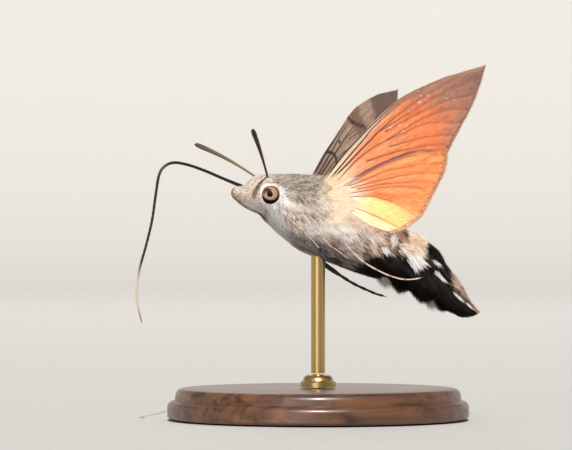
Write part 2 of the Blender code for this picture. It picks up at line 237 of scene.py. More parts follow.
# %% Curves and the body's table
BODY_STATIONS = np.array((
    (-10.35, 25.65, 0.30, 0.35), (-9.35, 25.30, 0.98, 0.95), (-8.35, 25.10, 1.60, 1.50),
    (-6.85, 25.15, 2.30, 2.15), (-5.90, 25.05, 2.62, 2.40), (-4.40, 24.58, 3.27, 2.92),
    (-2.55, 23.84, 3.96, 3.50), (-0.30, 23.00, 4.55, 3.90), (2.50, 21.85, 4.25, 3.85),
    (5.50, 20.30, 3.80, 3.70), (9.00, 18.55, 3.20, 3.50), (11.80, 17.00, 2.75, 3.30),
    (14.10, 15.30, 2.25, 3.10), (16.20, 13.55, 1.65, 3.20), (18.30, 11.90, 0.85, 2.90),
    (20.10, 10.50, 0.30, 2.50),
))
BANK = math.radians(-4.0)
BANK_AXIS_Z = 23.3


def curve_at(points, t):
    """Places on the smooth Catmull-Rom curve through the points, for an array of t from 0 to 1."""
    points = np.asarray(points, float)
    spans = len(points) - 1
    place = np.clip(np.asarray(t, float), 0, 1) * spans
    i = np.minimum(place.astype(int), spans - 1)
    f = (place - i)[:, None]
    padded = np.vstack((2 * points[0] - points[1], points, 2 * points[-1] - points[-2]))
    p0, p1, p2, p3 = (padded[i + k] for k in range(4))
    square = 2 * p0 - 5 * p1 + 4 * p2 - p3
    cube = 3 * p1 - p0 - 3 * p2 + p3
    return 0.5 * (2 * p1 + (p2 - p0) * f + square * f**2 + cube * f**3)


def banked(points):
    """The moth's own frame in mm, without its bank, to the stand's frame in metres."""
    x, y, z = points[..., 0], points[..., 1], points[..., 2] - BANK_AXIS_Z
    aside = y * math.cos(BANK) - z * math.sin(BANK)
    upward = y * math.sin(BANK) + z * math.cos(BANK) + BANK_AXIS_Z
    return np.stack((x, aside, upward), axis=-1) * MM


station_steps = np.linspace(0, 1, 901)
station_rows = curve_at(BODY_STATIONS, station_steps)
spine_run = np.concatenate(([0], np.cumsum(np.hypot(*np.diff(station_rows[:, :2], axis=0).T))))
spine_slope = np.gradient(station_rows[:, :2], axis=0)
spine_slope /= np.linalg.norm(spine_slope, axis=1)[:, None]
BODY_END = float(spine_run[np.argmin(np.abs(station_rows[:, 0] - 18.30))])
print("spine: %.1f mm to the tail's end" % BODY_END)


def body_row(s):
    """Centre x and z, half height, half width and the spine's direction at lengths along the spine."""
    return [np.interp(s, spine_run, column) for column in (*station_rows.T, *spine_slope.T)]


def body_point(s, angle, lift):
    """Places by length along the spine in mm, degrees round from the back (left is plus) and lift in mm."""
    x, z, height, width, along_x, along_z = body_row(s)
    turn = np.radians(angle)
    rise = np.cos(turn) * np.maximum(height + lift, 0.02)
    out = -np.sin(turn) * np.maximum(width + lift, 0.02)
    return np.stack((x - along_z * rise, out, z + along_x * rise), axis=-1)


def unit(vectors):
    """The same directions with a length of one."""
    return vectors / np.maximum(np.linalg.norm(vectors, axis=-1, keepdims=True), 1e-12)


def body_outward(s, angle):
    """Directions straight out of the body."""
    return unit(banked(body_point(s, angle, 1.0)) - banked(body_point(s, angle, 0.0)))


# %% Soft steps and noise for markings
def soft(x, low, high):
    """0 below low, 1 above high and a smooth ramp between."""
    t = np.clip((np.asarray(x, float) - low) / (high - low), 0, 1)
    return t * t * (3 - 2 * t)


def between(x, low, high, edge):
    """1 between low and high, and 0 outside, over a soft edge."""
    return soft(x, low - edge, low + edge) * (1 - soft(x, high - edge, high + edge))


def lattice(ix, iy, seed):
    """A fixed number from 0 to 1 for each whole-numbered place, which looks random."""
    h = np.sin(ix * 127.1 + iy * 311.7 + seed * 74.7) * 43758.5453
    return h - np.floor(h)


def noise(x, y, seed=0):
    """Smooth noise from 0 to 1 over a plane, with cells one unit wide."""
    ix, iy = np.floor(x), np.floor(y)
    fx, fy = x - ix, y - iy
    fx, fy = fx * fx * (3 - 2 * fx), fy * fy * (3 - 2 * fy)
    low = lattice(ix, iy, seed) * (1 - fx) + lattice(ix + 1, iy, seed) * fx
    high = lattice(ix, iy + 1, seed) * (1 - fx) + lattice(ix + 1, iy + 1, seed) * fx
    return low * (1 - fy) + high * fy


# %% [markdown]
# ## Markings of the coat
#
# The real coat is grey-brown and speckled on head and back, cream with rosy streaks on the sides of the
# chest, black towards the tail, with white and sandy patches. It is dark underneath, partly from its own dark
# hair and partly as painted shade, and a small umber patch is a painted shadow under the wing's rear corner.
# Each of these is a family of three colours, light, middle and dark, and a place on the body has a share of
# each family. Skin and tufts ask the same function, so they always agree.

# %% Colour families and where they lie
FAMILIES = {
    "speckled": (srgb(216, 204, 192), srgb(168, 154, 142), srgb(72, 62, 56)),
    "beige": (srgb(250, 234, 220), srgb(224, 200, 182), srgb(146, 116, 100)),
    "white": (srgb(255, 255, 254), srgb(240, 237, 234), srgb(176, 170, 168)),
    "silver": (srgb(255, 253, 252), srgb(222, 217, 215), srgb(112, 106, 108)),
    "rosy": (srgb(255, 253, 248), srgb(244, 227, 215), srgb(138, 112, 98)),
    "cream": (srgb(250, 236, 214), srgb(232, 206, 180), srgb(176, 138, 110)),
    # belly: dark underneath, partly the coat's own dark hair and partly painted shade
    "belly": (srgb(196, 188, 186), srgb(48, 42, 43), srgb(12, 10, 11)),
    "streaked": (srgb(255, 240, 226), srgb(196, 166, 146), srgb(38, 25, 21)),
    "umber": (srgb(170, 130, 100), srgb(104, 70, 50), srgb(44, 26, 18)),
    "sandy": (srgb(255, 238, 214), srgb(248, 222, 194), srgb(228, 194, 162)),
    "black": (srgb(24, 20, 20), srgb(8, 6, 7), srgb(3, 2, 3)),
    "tail_rose": (srgb(238, 208, 192), srgb(160, 124, 108), srgb(44, 30, 27)),
    "ash": (srgb(236, 228, 222), srgb(206, 197, 190), srgb(150, 140, 134)),
}
EYE_RADIUS = 1.17
EYE_PLACE = (-6.36, 1.42, 25.05)
EYE_OPEN = 0.90  # radius of the opening in the coat, in mm


def eye_offset(s, angle):
    """Run back and down from the eye's axis to places on the body, in mm."""
    place = body_point(s, angle, 0.0)
    return place[..., 0] - EYE_PLACE[0], EYE_PLACE[2] - place[..., 2]


def eye_distance(s, angle):
    """How far a place is from the eye's axis, in mm, and far away on top and below."""
    back, down = eye_offset(s, angle)
    return np.hypot(back, down) + 3 * (np.abs(np.abs(angle) - 92) > 75)


def coat_shares(s, angle):
    """The share of each colour family at places on the body."""
    side = np.abs(angle)
    wave = 7 * (noise(s / 1.1, angle / 24, 3) - 0.5) + 7 * (noise(s / 0.35, angle / 9, 4) - 0.5)
    back_edge = np.interp(
        s, (3, 4.2, 5.2, 6.6, 7.9, 8.8, 9.6, 10.6, 14, 18, 20), (60, 74, 85, 89, 87, 76, 62, 50, 44, 42, 40)
    )
    low_edge = np.interp(
        s, (4.5, 5.2, 6.6, 8.8, 11.2, 14.4, 16.3, 17.1), (170, 158, 138, 131, 131, 138, 136, 124)
    )
    black_edge = np.interp(
        s, (15.4, 16.3, 17.1, 17.8, 18.5, 19.5, 20.1, 21.4, 22.4, 22.7, 22.9, 23.4, 24.4),
        (152, 140, 119, 114, 110, 101, 97, 91, 86, 68, 32, 18, 6),
    )
    shares = {name: np.zeros_like(side) for name in FAMILIES}
    head = 1 - soft(s + wave * 0.03, 3.2, 4.6)
    back = 1 - soft(side, back_edge + wave - 6, back_edge + wave + 6)
    low = soft(side, low_edge + wave - 4, low_edge + wave + 4)
    rear = soft(s + wave * 0.08, 13.4, 16.4)
    middle = (1 - back) * (1 - low)
    pale_low = soft(side - 8 * np.maximum(0, 2.0 - s), 122, 136) * soft(s, 0.9, 1.5)
    shares["beige"] = head * (1 - pale_low)
    shares["white"] = head * pale_low * 0.8
    shares["speckled"] = (1 - head) * back * (1 - 0.5 * rear)
    shares["rosy"] = (1 - head) * middle * (1 - rear)
    shares["streaked"] = (1 - head) * (middle + 0.5 * back) * rear
    throat = 1 - soft(s - 0.012 * (side - 130), 5.6, 7.4)
    # the belly family: partly the coat's own dark hair and partly painted shade underneath
    shares["belly"] = (1 - head) * low * (1 - throat)
    shares["silver"] = 1.6 * throat * soft(side, 108, 126) * soft(s, 2.6, 4.0)
    shares["cream"] = 7.0 * between(s + wave * 0.06, 9.4, 15.0, 0.8) * between(side + wave, 44, 92, 10)
    chin = soft(side, 166, 174) * between(s, 0.9, 4.2, 0.5)
    # umber: a dark edge under the chin, and a painted shadow of the wing's rear corner on the abdomen just
    # before the sandy patch
    shares["umber"] = 8 * chin + 12 * between(s, 18.9, 20.25, 0.25) * between(side, 34, 64, 6)
    back_run, down_run = eye_offset(s, angle)
    below_eye = (down_run - 0.6 * back_run) / np.maximum(np.hypot(back_run, down_run), 0.01)
    ring = 1 - soft(eye_distance(s, angle) - 0.12 * below_eye, 1.12, 1.45)
    shares["white"] += 16 * ring * (0.25 + 0.75 * soft(below_eye, -0.9, 0.1))
    shares["black"] = 40 * soft(side, black_edge + wave - 3, black_edge + wave + 3) * soft(s, 15.6, 17.4)
    patch_start = 20.3 + 0.5 * soft(side, 50, 74)
    shares["sandy"] = 400 * between(s + wave * 0.02, patch_start, 22.55, 0.12) * between(side, 19, 73, 3)
    shares["ash"] = 200 * between(s, 22.7, 24.0, 0.2) * (1 - soft(side, 17, 23))
    tail_edge = np.interp(s, (25.3, 26.2, 27, 28, 30, 31.6), (8, 50, 74, 90, 94, 108)) + wave
    shares["tail_rose"] = 200 * soft(s, 25.4, 25.9) * (1 - soft(side, tail_edge - 6, tail_edge + 6))
    total = sum(shares.values())
    return {name: share / total for name, share in shares.items()}


TONE_STOPS = (0.12, 0.5, 0.88)  # the tones of a family's dark, middle and light colour


def toned(name, tone):
    """A family's colour at each tone from 0 to 1."""
    light, middle, dark = FAMILIES[name]
    ramp = np.array((dark, middle, light))
    return np.stack([np.interp(tone, TONE_STOPS, ramp[:, k]) for k in range(3)], axis=-1)


def family_colours(shares, tone):
    """One colour for each place: every family's colour at that tone, mixed by their shares."""
    mixed = np.zeros((len(tone), 3))
    for name in FAMILIES:
        mixed += shares[name][:, None] * toned(name, tone)
    return mixed


def lie_angle(s, angle):
    """Degrees that the coat turns down from the spine's direction, towards the belly."""
    side = np.abs(angle)
    chest = np.interp(s, (3.5, 5, 6.5, 8, 10, 14), (30, 46, 38, 30, 20, 14)) * between(side, 52, 152, 20)
    cheek = 42 * between(s, 2.6, 6.0, 1.0) * between(side, 104, 165, 14)
    abdomen = 17 * soft(s, 13, 16) * between(side, 30, 150, 20)
    return np.maximum(np.maximum(chest * soft(s, 3.5, 5.5) * (1 - soft(s, 13, 16)), cheek), abdomen)


def coat_tone(s, angle, wild):
    """How light or dark a place is in its family: fine speckle on the back, long streaks elsewhere."""
    side = np.abs(angle)
    round_mm = np.radians(side) * 3.4
    speckle = noise(s / 0.16, round_mm / 0.16, 5)
    lie = np.radians(lie_angle(s, angle))
    across = round_mm * np.cos(lie) - s * np.sin(lie)
    along = s * np.cos(lie) + round_mm * np.sin(lie)
    streak = 0.74 * noise(along / 1.7, across / 0.13, 7) + 0.26 * noise(along / 1.9, across / 0.34, 8)
    broad = noise(s / 1.1, round_mm / 0.8, 9)
    short = np.clip(1 - soft(side, 60, 95) * soft(s, 3, 6), 0, 1) * (1 - soft(s, 14, 16))
    streak += 0.5 * (noise(along / 1.6, across / 0.3, 6) - 0.6) * soft(s, 12.5, 15.5)
    tone = short * (0.34 * speckle + 0.12 * broad + 0.54 * wild)
    tone += (1 - short) * (0.72 * streak + 0.12 * broad + 0.16 * wild)
    tone += (1 - short) * (0.04 - 0.05 * soft(s, 11, 14.5))
    return np.clip((tone - 0.5) * (2.3 - 0.1 * short) + 0.56, 0, 1)

# %% [markdown]
# ## Skin
#
# Under the hair the moth is one smooth body. The skin is lofted from circles: each circle is laid
# on the body's oval at its place and the next is bridged to it, so there is no seam between head,
# thorax and abdomen. It lies inside the solids by the depth of the coat, and it stands for all the
# solids of the body at once.

# %% How deep the coat is
def coat_depth(s, angle):
    """Depth of the coat in mm, thin on the face and deep under the chest and at the tail."""
    side = np.abs(angle)
    depth = np.interp(
        s, (0, 1.5, 4, 6, 9, 14, 20, 26, 30, 34), (0.08, 0.14, 0.17, 0.24, 0.28, 0.34, 0.4, 0.45, 0.4, 0.2)
    )
    depth = depth + 0.2 * soft(side, 70, 120) * soft(s, 4.5, 7)
    _, _, height, width, _, _ = body_row(s)
    return np.minimum(depth, 0.38 * np.minimum(height, width))


def form(s, angle):
    """Extra lift in mm of skin and coat: the cleft between the palps, brow, neck, hips and the rings."""
    side = np.abs(angle)
    nearest = np.minimum(side, 180 - side)
    cleft = -0.24 * np.exp(-((nearest / 13) ** 2)) * (1 - soft(s, 1.5, 2.4))
    nose = 0.16 * (1 - soft(s, 0.3, 1.6))
    brow = 0.13 * between(s, 2.3, 3.8, 0.35) * (1 - soft(side, 40, 75))
    neck = -0.12 * np.exp(-(((s - 5.3) / 0.5) ** 2)) * (1 - soft(side, 120, 160))
    hips = 0.5 * between(s, 21.4, 25.6, 0.9) * (1 - soft(side, 35, 75))
    belly = 0.3 * between(s, 11.5, 20.5, 2.0) * soft(side, 120, 160)
    tail = -0.8 * soft(s, 28.8, 31.4) * (1 - soft(side, 50, 100))
    ring = (s / 2.5) % 1.0
    rings = 0.12 * (ring - 0.5) * soft(s, 14, 16) * (1 - soft(side, 120, 160))
    return nose + cleft + brow + neck + hips + belly + tail + rings

# %% Loft the skin
SKIN_RINGS = 130
SKIN_SIDES = 72


def colour_attribute(mesh, name, colours):
    """Stores a colour for each vertex."""
    attribute = mesh.color_attributes.new(name, "FLOAT_COLOR", "POINT")
    attribute.data.foreach_set("color", np.column_stack((colours, np.ones(len(colours)))).ravel())


skin_mesh = bmesh.new()
skin_angles = np.linspace(-180, 180, SKIN_SIDES, endpoint=False)
skin_places = []
last_edges = []
for s in np.linspace(0.12, BODY_END + 0.3, SKIN_RINGS):
    lift = form(s, skin_angles) - coat_depth(np.full(SKIN_SIDES, s), skin_angles)
    places = banked(body_point(np.full(SKIN_SIDES, s), skin_angles, lift))
    circle = bmesh.ops.create_circle(skin_mesh, segments=SKIN_SIDES, radius=MM)["verts"]
    for vert, place in zip(circle, places):
        vert.co = place
    skin_places.append(np.column_stack((np.full(SKIN_SIDES, s), skin_angles)))
    edges = list({edge for vert in circle for edge in vert.link_edges})
    if last_edges:
        bmesh.ops.bridge_loops(skin_mesh, edges=last_edges + edges)
    else:
        bmesh.ops.edgeloop_fill(skin_mesh, edges=edges)
    last_edges = edges
bmesh.ops.edgeloop_fill(skin_mesh, edges=last_edges)
bmesh.ops.recalc_face_normals(skin_mesh, faces=skin_mesh.faces)

skin = show("skin", skin_mesh, painted_material("hide", "coat_colour", 0.8))
skin_s, skin_a = np.concatenate(skin_places).T
skin_tone = coat_tone(skin_s, skin_a, np.full(len(skin_s), 0.4)) * 0.8
colour_attribute(skin.data, "coat_colour", family_colours(coat_shares(skin_s, skin_a), skin_tone) * 0.7)
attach(skin, "root")
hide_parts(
    "head", "palp_left", "palp_right", "thorax", "abdomen_front", "abdomen_rear",
    "tail_fan_left", "tail_fan_right",
)
print("skin:", len(skin.data.polygons), "faces")

# %% [markdown]
# ## Coat
#
# A moth's coat is made of scales and hairs that lie back along the body like thatch. Each tuft
# here is a thin three-sided spike. Short scales are straight and need only a root and a tip; long
# hairs have a bend in the middle. There are far too many for modelling tools to make one by one,
# so their corners are worked out together as arrays, on the body's own surface.

# %% Build many tufts at once
PATCH = 0.0013  # half the width of a tuft's patch on the unwrapped skin
ROOT_SHADE = 0.78  # painted shade: a tuft's colour is this much darker at its root, deep in the coat
SIDE_LEAN = 0.45  # how far the light-catching directions of a tuft's two sides lean apart
tuft_material = painted_material("coat_hair", "coat_colour", 0.62, Specular_IOR_Level=0.16)


def tufts(name, rings, outward, widths, colours, root_uv, tip_shade=1.2, lit_as_skin=True):
    """One mesh of closed tufts. rings is a list of arrays of places in metres, from roots to tips.

    With lit_as_skin each tuft catches the light as the skin below it does, because fine hair scatters it.
    """
    count, levels = len(rings[0]), len(rings) - 1
    corners, shades, uvs, normals = [], [], [], []
    for k in range(levels):
        heading = unit(rings[k + 1] - rings[k])
        across = unit(np.cross(heading, outward))
        half = (widths * MM / 2 * (1 - 0.35 * k / max(levels - 1, 1)))[:, None]
        corners += [rings[k] - across * half, rings[k] + across * half, rings[k] + outward * half * 0.7]
        normals += [outward - across * SIDE_LEAN, outward + across * SIDE_LEAN, outward]
        # painted shade at the root and painted light towards the tip: each ring's colour is scaled from
        # ROOT_SHADE up to tip_shade
        shade = ROOT_SHADE + (tip_shade - ROOT_SHADE) * k / levels
        shades += [colours * shade] * 3
        y = -PATCH + 2 * PATCH * k / levels
        uvs += [root_uv + (-PATCH, y), root_uv + (PATCH, y), root_uv + (0, y + 0.3 * PATCH)]
    corners.append(rings[-1])
    normals.append(outward)
    shades.append(np.clip(colours * tip_shade, 0, 1))
    uvs.append(root_uv + (0, PATCH))
    points = np.stack(corners, axis=1).reshape(-1, 3)
    per = 3 * levels + 1
    tip = per - 1
    faces = [(0, 1, 2)]
    for k in range(levels - 1):
        a, b = 3 * k, 3 * k + 3
        faces += [(b, b + 1, a + 1, a), (b + 1, b + 2, a + 2, a + 1), (b + 2, b, a, a + 2)]
    a = 3 * (levels - 1)
    faces += [(tip, a + 1, a), (tip, a + 2, a + 1), (tip, a, a + 2)]
    loops = np.concatenate([np.array(face) for face in faces])
    sizes = np.array([len(face) for face in faces])
    offsets = np.arange(count)[:, None] * per
    all_loops = (offsets + loops).ravel()
    starts = np.concatenate(([0], np.cumsum(np.tile(sizes, count))[:-1]))
    mesh = bpy.data.meshes.new(name)
    mesh.vertices.add(len(points))
    mesh.vertices.foreach_set("co", points.ravel())
    mesh.loops.add(len(all_loops))
    mesh.loops.foreach_set("vertex_index", all_loops.astype(np.int32))
    mesh.polygons.add(len(starts))
    mesh.polygons.foreach_set("loop_start", starts.astype(np.int32))
    mesh.update(calc_edges=True)
    if lit_as_skin:
        mesh.shade_smooth()
        mesh.normals_split_custom_set_from_vertices(unit(np.stack(normals, axis=1).reshape(-1, 3)))
    colour_attribute(mesh, "coat_colour", np.stack(shades, axis=1).reshape(-1, 3))
    uv = mesh.uv_layers.new(name="OFBake")
    uv.data.foreach_set("uv", np.stack(uvs, axis=1).reshape(-1, 2)[all_loops].ravel())
    mesh.materials.append(tuft_material)
    piece = bpy.data.objects.new(name, mesh)
    bpy.context.scene.collection.objects.link(piece)
    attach(piece, "root")
    print(f"{name}: {count} tufts, {count * sum(len(f) - 2 for f in faces)} triangles")
    return piece


# %% Scatter roots and let them lie
EVEN_STEP = (0.7548776662466927, 0.5698402909980532)  # steps that fill a square without clumps or rows


def scatter(count, s_range, side_range, seed):
    """Evenly spread places between two lengths and two angles off the back, on both sides."""
    step = np.arange(count) + 0.5
    u, v = (EVEN_STEP[0] * step + 0.1 * seed) % 1, (EVEN_STEP[1] * step + 0.3 * seed) % 1
    lengths = np.linspace(*s_range, 200)
    _, _, height, width, _, _ = body_row(lengths)
    share = np.cumsum(height + width)
    s = np.interp(u * share[-1], share, lengths)
    low, high = side_range
    angle = low + (high - low) * v
    return s, np.where(step % 2 < 1, angle, -angle)


ROOT_SINK = 0.04  # how far roots start below the skin, in mm
LOBES = ((21.4, 24.3, 1.15), (24.6, 27.5, 0.95), (27.8, 30.0, 0.5))  # start, ragged end and lift in mm


def lobe_lift(s, angle):
    """How far the lobes of scales below the tail stand out, in mm: each rises to its end and stops."""
    lift = sum(rise * soft(s, start, end) * (s < end + 0.25) for start, end, rise in LOBES)
    return lift * soft(np.abs(angle), 108, 142)


def body_tufts(
    name, count, s_range, side_range, length, width, seed,
    bend=False, wisps=0.03, wild=7, slot="coat_grey", lobed=False,
):
    """Tufts on a region of the body. length and width are in mm; wild scatters their lie, in degrees."""
    random = np.random.default_rng(seed)
    s, angle = scatter(count, s_range, side_range, seed)
    cell = math.sqrt((s_range[1] - s_range[0]) * 20 / count)
    s = s + random.normal(0, cell * 0.3, count)
    angle = angle + random.normal(0, math.degrees(cell * 0.3 / 3), count)
    keep = (eye_distance(s, angle) > EYE_OPEN) & (s > 0.1) & (s < BODY_END + 0.1)
    s, angle = s[keep], angle[keep]
    count = len(s)
    reach = length(s, angle) * random.uniform(0.75, 1.2, count)
    lie = np.radians(lie_angle(s, angle) + random.normal(0, wild, count))
    clump = noise(s / 0.7, angle / 12, seed) + noise(s / 0.3, angle / 5, seed + 1) - 1
    lie += np.radians(17) * clump * (reach > 0.7)
    forward, down = np.cos(lie), np.sin(lie)
    away = 1 - soft(eye_distance(s, angle), 1.1, 1.7)
    back_run, down_run = eye_offset(s, angle)
    from_eye = np.arctan2(down_run, back_run)
    forward = forward * (1 - away) + np.cos(from_eye) * away
    down = down * (1 - away) + np.sin(from_eye) * away
    reach *= 1 - 0.3 * away
    last = BODY_END - 1.3 * (1 - soft(np.abs(angle), 50, 105)) + random.uniform(-0.7, 0.35, count)
    stand_off = np.zeros(count)
    if lobed:
        for start, end, _ in LOBES:
            inside = (s > start - 0.6) & (s < end)
            last = np.where(inside, end + random.uniform(-0.35, 0.2, count), last)
        stand_off = np.sqrt(random.uniform(0.05, 1.0, count))
    reach = np.minimum(reach, np.maximum(last - s, 0.35) / np.maximum(forward, 0.2))
    depth = coat_depth(s, angle)
    lift = form(s, angle)
    wisp = random.random(count) < wisps
    top = -depth * random.uniform(0.0, 0.45, count) + wisp * random.uniform(0.05, 0.22, count)
    side_sign = np.where(angle < 0, -1.0, 1.0)
    sunk = depth + ROOT_SINK
    rings = []
    for t in (0.0, 0.5, 1.0) if bend else (0.0, 1.0):
        at = s + forward * reach * t
        _, _, height, width_here, _, _ = body_row(at)
        around = angle + side_sign * np.degrees(down * reach * t / (0.5 * (height + width_here)))
        height_here = (top + sunk) * (t**0.7 if bend else t) - sunk + stand_off * lobe_lift(at, around) * t
        rings.append(banked(body_point(at, around, form(at, around) * 0.5 + lift * 0.5 + height_here)))
    tone = coat_tone(s, angle, random.random(count))
    colours = family_colours(coat_shares(s, angle), tone)
    low, high = s_range
    u, v = (s - low + 0.5) / (high - low + 1.0), (angle + 190) / 380
    uv = np.column_stack((0.02 + 0.96 * u, 0.02 + 0.96 * v))
    widths = width * random.uniform(0.8, 1.25, count)
    return tufts(name, rings, body_outward(s, angle), widths, colours, uv)

# %% Head and back: short scales
def head_length(s, angle):
    return 0.26 + 0.4 * soft(np.abs(angle), 105, 150) * soft(s, 1.5, 3.5)


def back_length(s, angle):
    return 0.30 + 0.6 * soft(np.abs(angle), 55, 90) * soft(s, 5, 7)


body_tufts("coat_head", 34000, (0.1, 5.4), (0, 180), head_length, 0.085, 1, wild=14)
body_tufts("coat_back", 42000, (5.1, 14.2), (0, 92), back_length, 0.1, 2, wild=16)

# %% The palps' blunt ends
PALP_END = (-9.6, 0.16, 25.55)  # middle of the left end in mm; the right one mirrors it
GOLDEN_TURN = 137.508  # degrees from one hair to the next, as seeds sit in a flower head


def palp_ends(count, seed):
    """Short hairs round the two ends of the palps, spread like a brush in front of the first scales."""
    random = np.random.default_rng(seed)
    turn = np.radians(GOLDEN_TURN * np.arange(count))
    lean = np.sqrt((np.arange(count) + 0.5) / count) * math.radians(82)
    sign = np.where(np.arange(count) % 2, 1.0, -1.0)
    root = PALP_END * np.stack((np.ones(count), sign, np.ones(count)), axis=-1)
    way = np.stack((-np.cos(lean), np.sin(lean) * np.cos(turn), np.sin(lean) * np.sin(turn)), axis=-1)
    front = np.stack((-np.sin(lean), -np.cos(lean) * np.cos(turn), -np.cos(lean) * np.sin(turn)), axis=-1)
    reach = (0.26 + 0.34 * random.random(count))[:, None]
    droop = np.array((0.08, 0.0, -0.03))
    rings = [banked(root + way * reach * t + droop * t * t) for t in (0.25, 1.0)]
    tone = random.random(count)
    colours = family_colours(coat_shares(np.full(count, 0.3), np.full(count, 70.0)), tone)
    uv = np.column_stack((0.1 + 0.8 * lean / 2, 0.1 + 0.8 * (turn % math.tau) / math.tau))
    widths = np.full(count, 0.065)
    return tufts("coat_palp_ends", rings, unit(way + front), widths, colours, uv, lit_as_skin=False)


palp_ends(1100, 11)

# %% Chest, abdomen and tail: longer hairs
def chest_length(s, angle):
    return 0.8 + 0.9 * soft(s, 5.0, 8)


def abdomen_length(s, angle):
    return 0.9 + 0.5 * soft(np.abs(angle), 40, 90)


def tail_length(s, angle):
    return 1.3 + 0.5 * soft(s, 27, 31)


long_hair = {"bend": True}
loose_hair = {"bend": True, "wild": 9}
dark_hair = {"bend": True, "slot": "coat_dark"}
body_tufts("coat_chest", 19400, (4.6, 14.6), (72, 146), chest_length, 0.095, 3, wisps=0.07, **loose_hair)
body_tufts("coat_belly", 13000, (4.2, 19.0), (134, 180), chest_length, 0.09, 4, wisps=0.05, **long_hair)
body_tufts("coat_abdomen", 19000, (13.8, 21.2), (0, 144), abdomen_length, 0.09, 5, wisps=0.06, **loose_hair)
body_tufts("coat_rear", 18000, (18.4, 26.4), (0, 180), abdomen_length, 0.09, 6, **dark_hair)
body_tufts("coat_lobes", 9500, (20.8, 30.0), (108, 180), tail_length, 0.12, 8, lobed=True, **dark_hair)
body_tufts("coat_tail", 18000, (25.6, BODY_END), (0, 180), tail_length, 0.1, 7, wisps=0.05, **dark_hair)

# %% [markdown]
# ## Tufts that stand out
#
# The sides of the abdomen carry brushes: a white fan and a few small white ones, and two grey ones
# hang below. Each brush is a sheaf that starts on a short line of roots and spreads to a line of
# tips, so it is described by those two lines.

# %% Brushes between a line of roots and a line of tips
def brush(roots, tips, count, side, colour, width, seed, spread=0.25, depth=0.25):
    """Paths of hairs from one line to another; each line has two ends given as length, angle and lift."""
    random = np.random.default_rng(seed)
    u = random.random(count)
    v = np.clip(u + random.normal(0, spread * 0.4, count), -0.1, 1.1)
    root = np.outer(1 - u, roots[0]) + np.outer(u, roots[1])
    tip = np.outer(1 - v, tips[0]) + np.outer(v, tips[1])
    root += random.normal(0, 1, (count, 3)) * (0.2, 2.6, depth * 0.4)
    tip += random.normal(0, 1, (count, 3)) * (0.3, 3.0, depth * 0.4)
    tip = root + (tip - root) * random.uniform(0.6, 1.08, (count, 1))
    rings = []
    for t in (0.0, 0.5, 1.0):
        here = root * (1 - t) + tip * t
        rings.append(banked(body_point(here[:, 0], here[:, 1] * side, here[:, 2] - depth * 0.3 * (1 - t))))
    outward = body_outward(root[:, 0], root[:, 1] * side)
    colours = toned(colour, np.clip(random.normal(0.55, 0.2, count), 0, 1))
    return rings, outward, np.full(count, width) * random.uniform(0.8, 1.2, count), colours, root


BRUSHES = (
    # roots, tips, hairs, colour, hair width
    (((21.7, 98, 0.0), (22.0, 92, 0.0)), ((23.5, 118, 0.3), (23.4, 111, 0.3)), 80, "white", 0.08),
    (((21.8, 94, 0.0), (22.1, 87, 0.0)), ((23.8, 108, 0.3), (23.7, 102, 0.3)), 70, "white", 0.08),
    (((21.9, 90, 0.0), (22.3, 82, 0.0)), ((24.1, 99, 0.3), (24.0, 90, 0.3)), 90, "white", 0.08),
    (((18.9, 76, 0.0), (19.4, 69, 0.0)), ((18.9, 96, 0.1), (19.5, 98, 0.1)), 60, "ash", 0.06),
    (((18.3, 104, 0.0), (18.7, 100, 0.0)), ((18.9, 113, 0.14), (19.3, 112, 0.14)), 70, "white", 0.06),
    (((15.4, 92, 0.0), (15.8, 88, 0.0)), ((15.6, 104, 0.1), (16.0, 103, 0.1)), 36, "ash", 0.06),
    (((24.4, 70, 0.0), (24.7, 66, 0.0)), ((25.5, 74, 0.12), (25.7, 66, 0.12)), 44, "silver", 0.06),
    (((25.5, 91, 0.0), (25.6, 89, 0.0)), ((27.1, 96, 0.12), (27.2, 94, 0.12)), 50, "white", 0.055),
    (((28.9, 106, 0.0), (29.0, 104, 0.0)), ((30.1, 110, 0.1), (30.2, 108, 0.1)), 40, "white", 0.055),
    (((30.7, 107, 0.0), (30.8, 105, 0.0)), ((31.6, 112, 0.1), (31.7, 109, 0.1)), 32, "white", 0.055),
    (((20.4, 166, -0.2), (20.9, 176, -0.2)), ((21.8, 168, 1.0), (22.5, 176, 1.0)), 140, "silver", 0.07),
    (((27.0, 166, -0.2), (27.6, 176, -0.2)), ((28.6, 166, 0.9), (29.2, 174, 0.9)), 120, "silver", 0.07),
)
for side, side_name in ((1, "left"), (-1, "right")):
    sheaves = [
        brush(roots, tips, count, side, colour, width, 40 + k * 2 + (side > 0))
        for k, (roots, tips, count, colour, width) in enumerate(BRUSHES)
    ]
    rings = [np.concatenate([sheaf[0][k] for sheaf in sheaves]) for k in range(3)]
    outward, widths, colours, roots = (np.concatenate([sheaf[k] for sheaf in sheaves]) for k in (1, 2, 3, 4))
    uv = np.column_stack((0.02 + 0.96 * (roots[:, 0] - 14) / 20, 0.02 + 0.96 * (roots[:, 1] - 55) / 130))
    tufts("brushes_" + side_name, rings, outward, widths, colours, uv)

# %% [markdown]
# ## Sweeping a tube along a curve
#
# Feelers, proboscis, legs and veins are all tubes that change thickness on the way. A circle is
# laid square to the curve at each step and bridged to the one before, and both ends are filled.

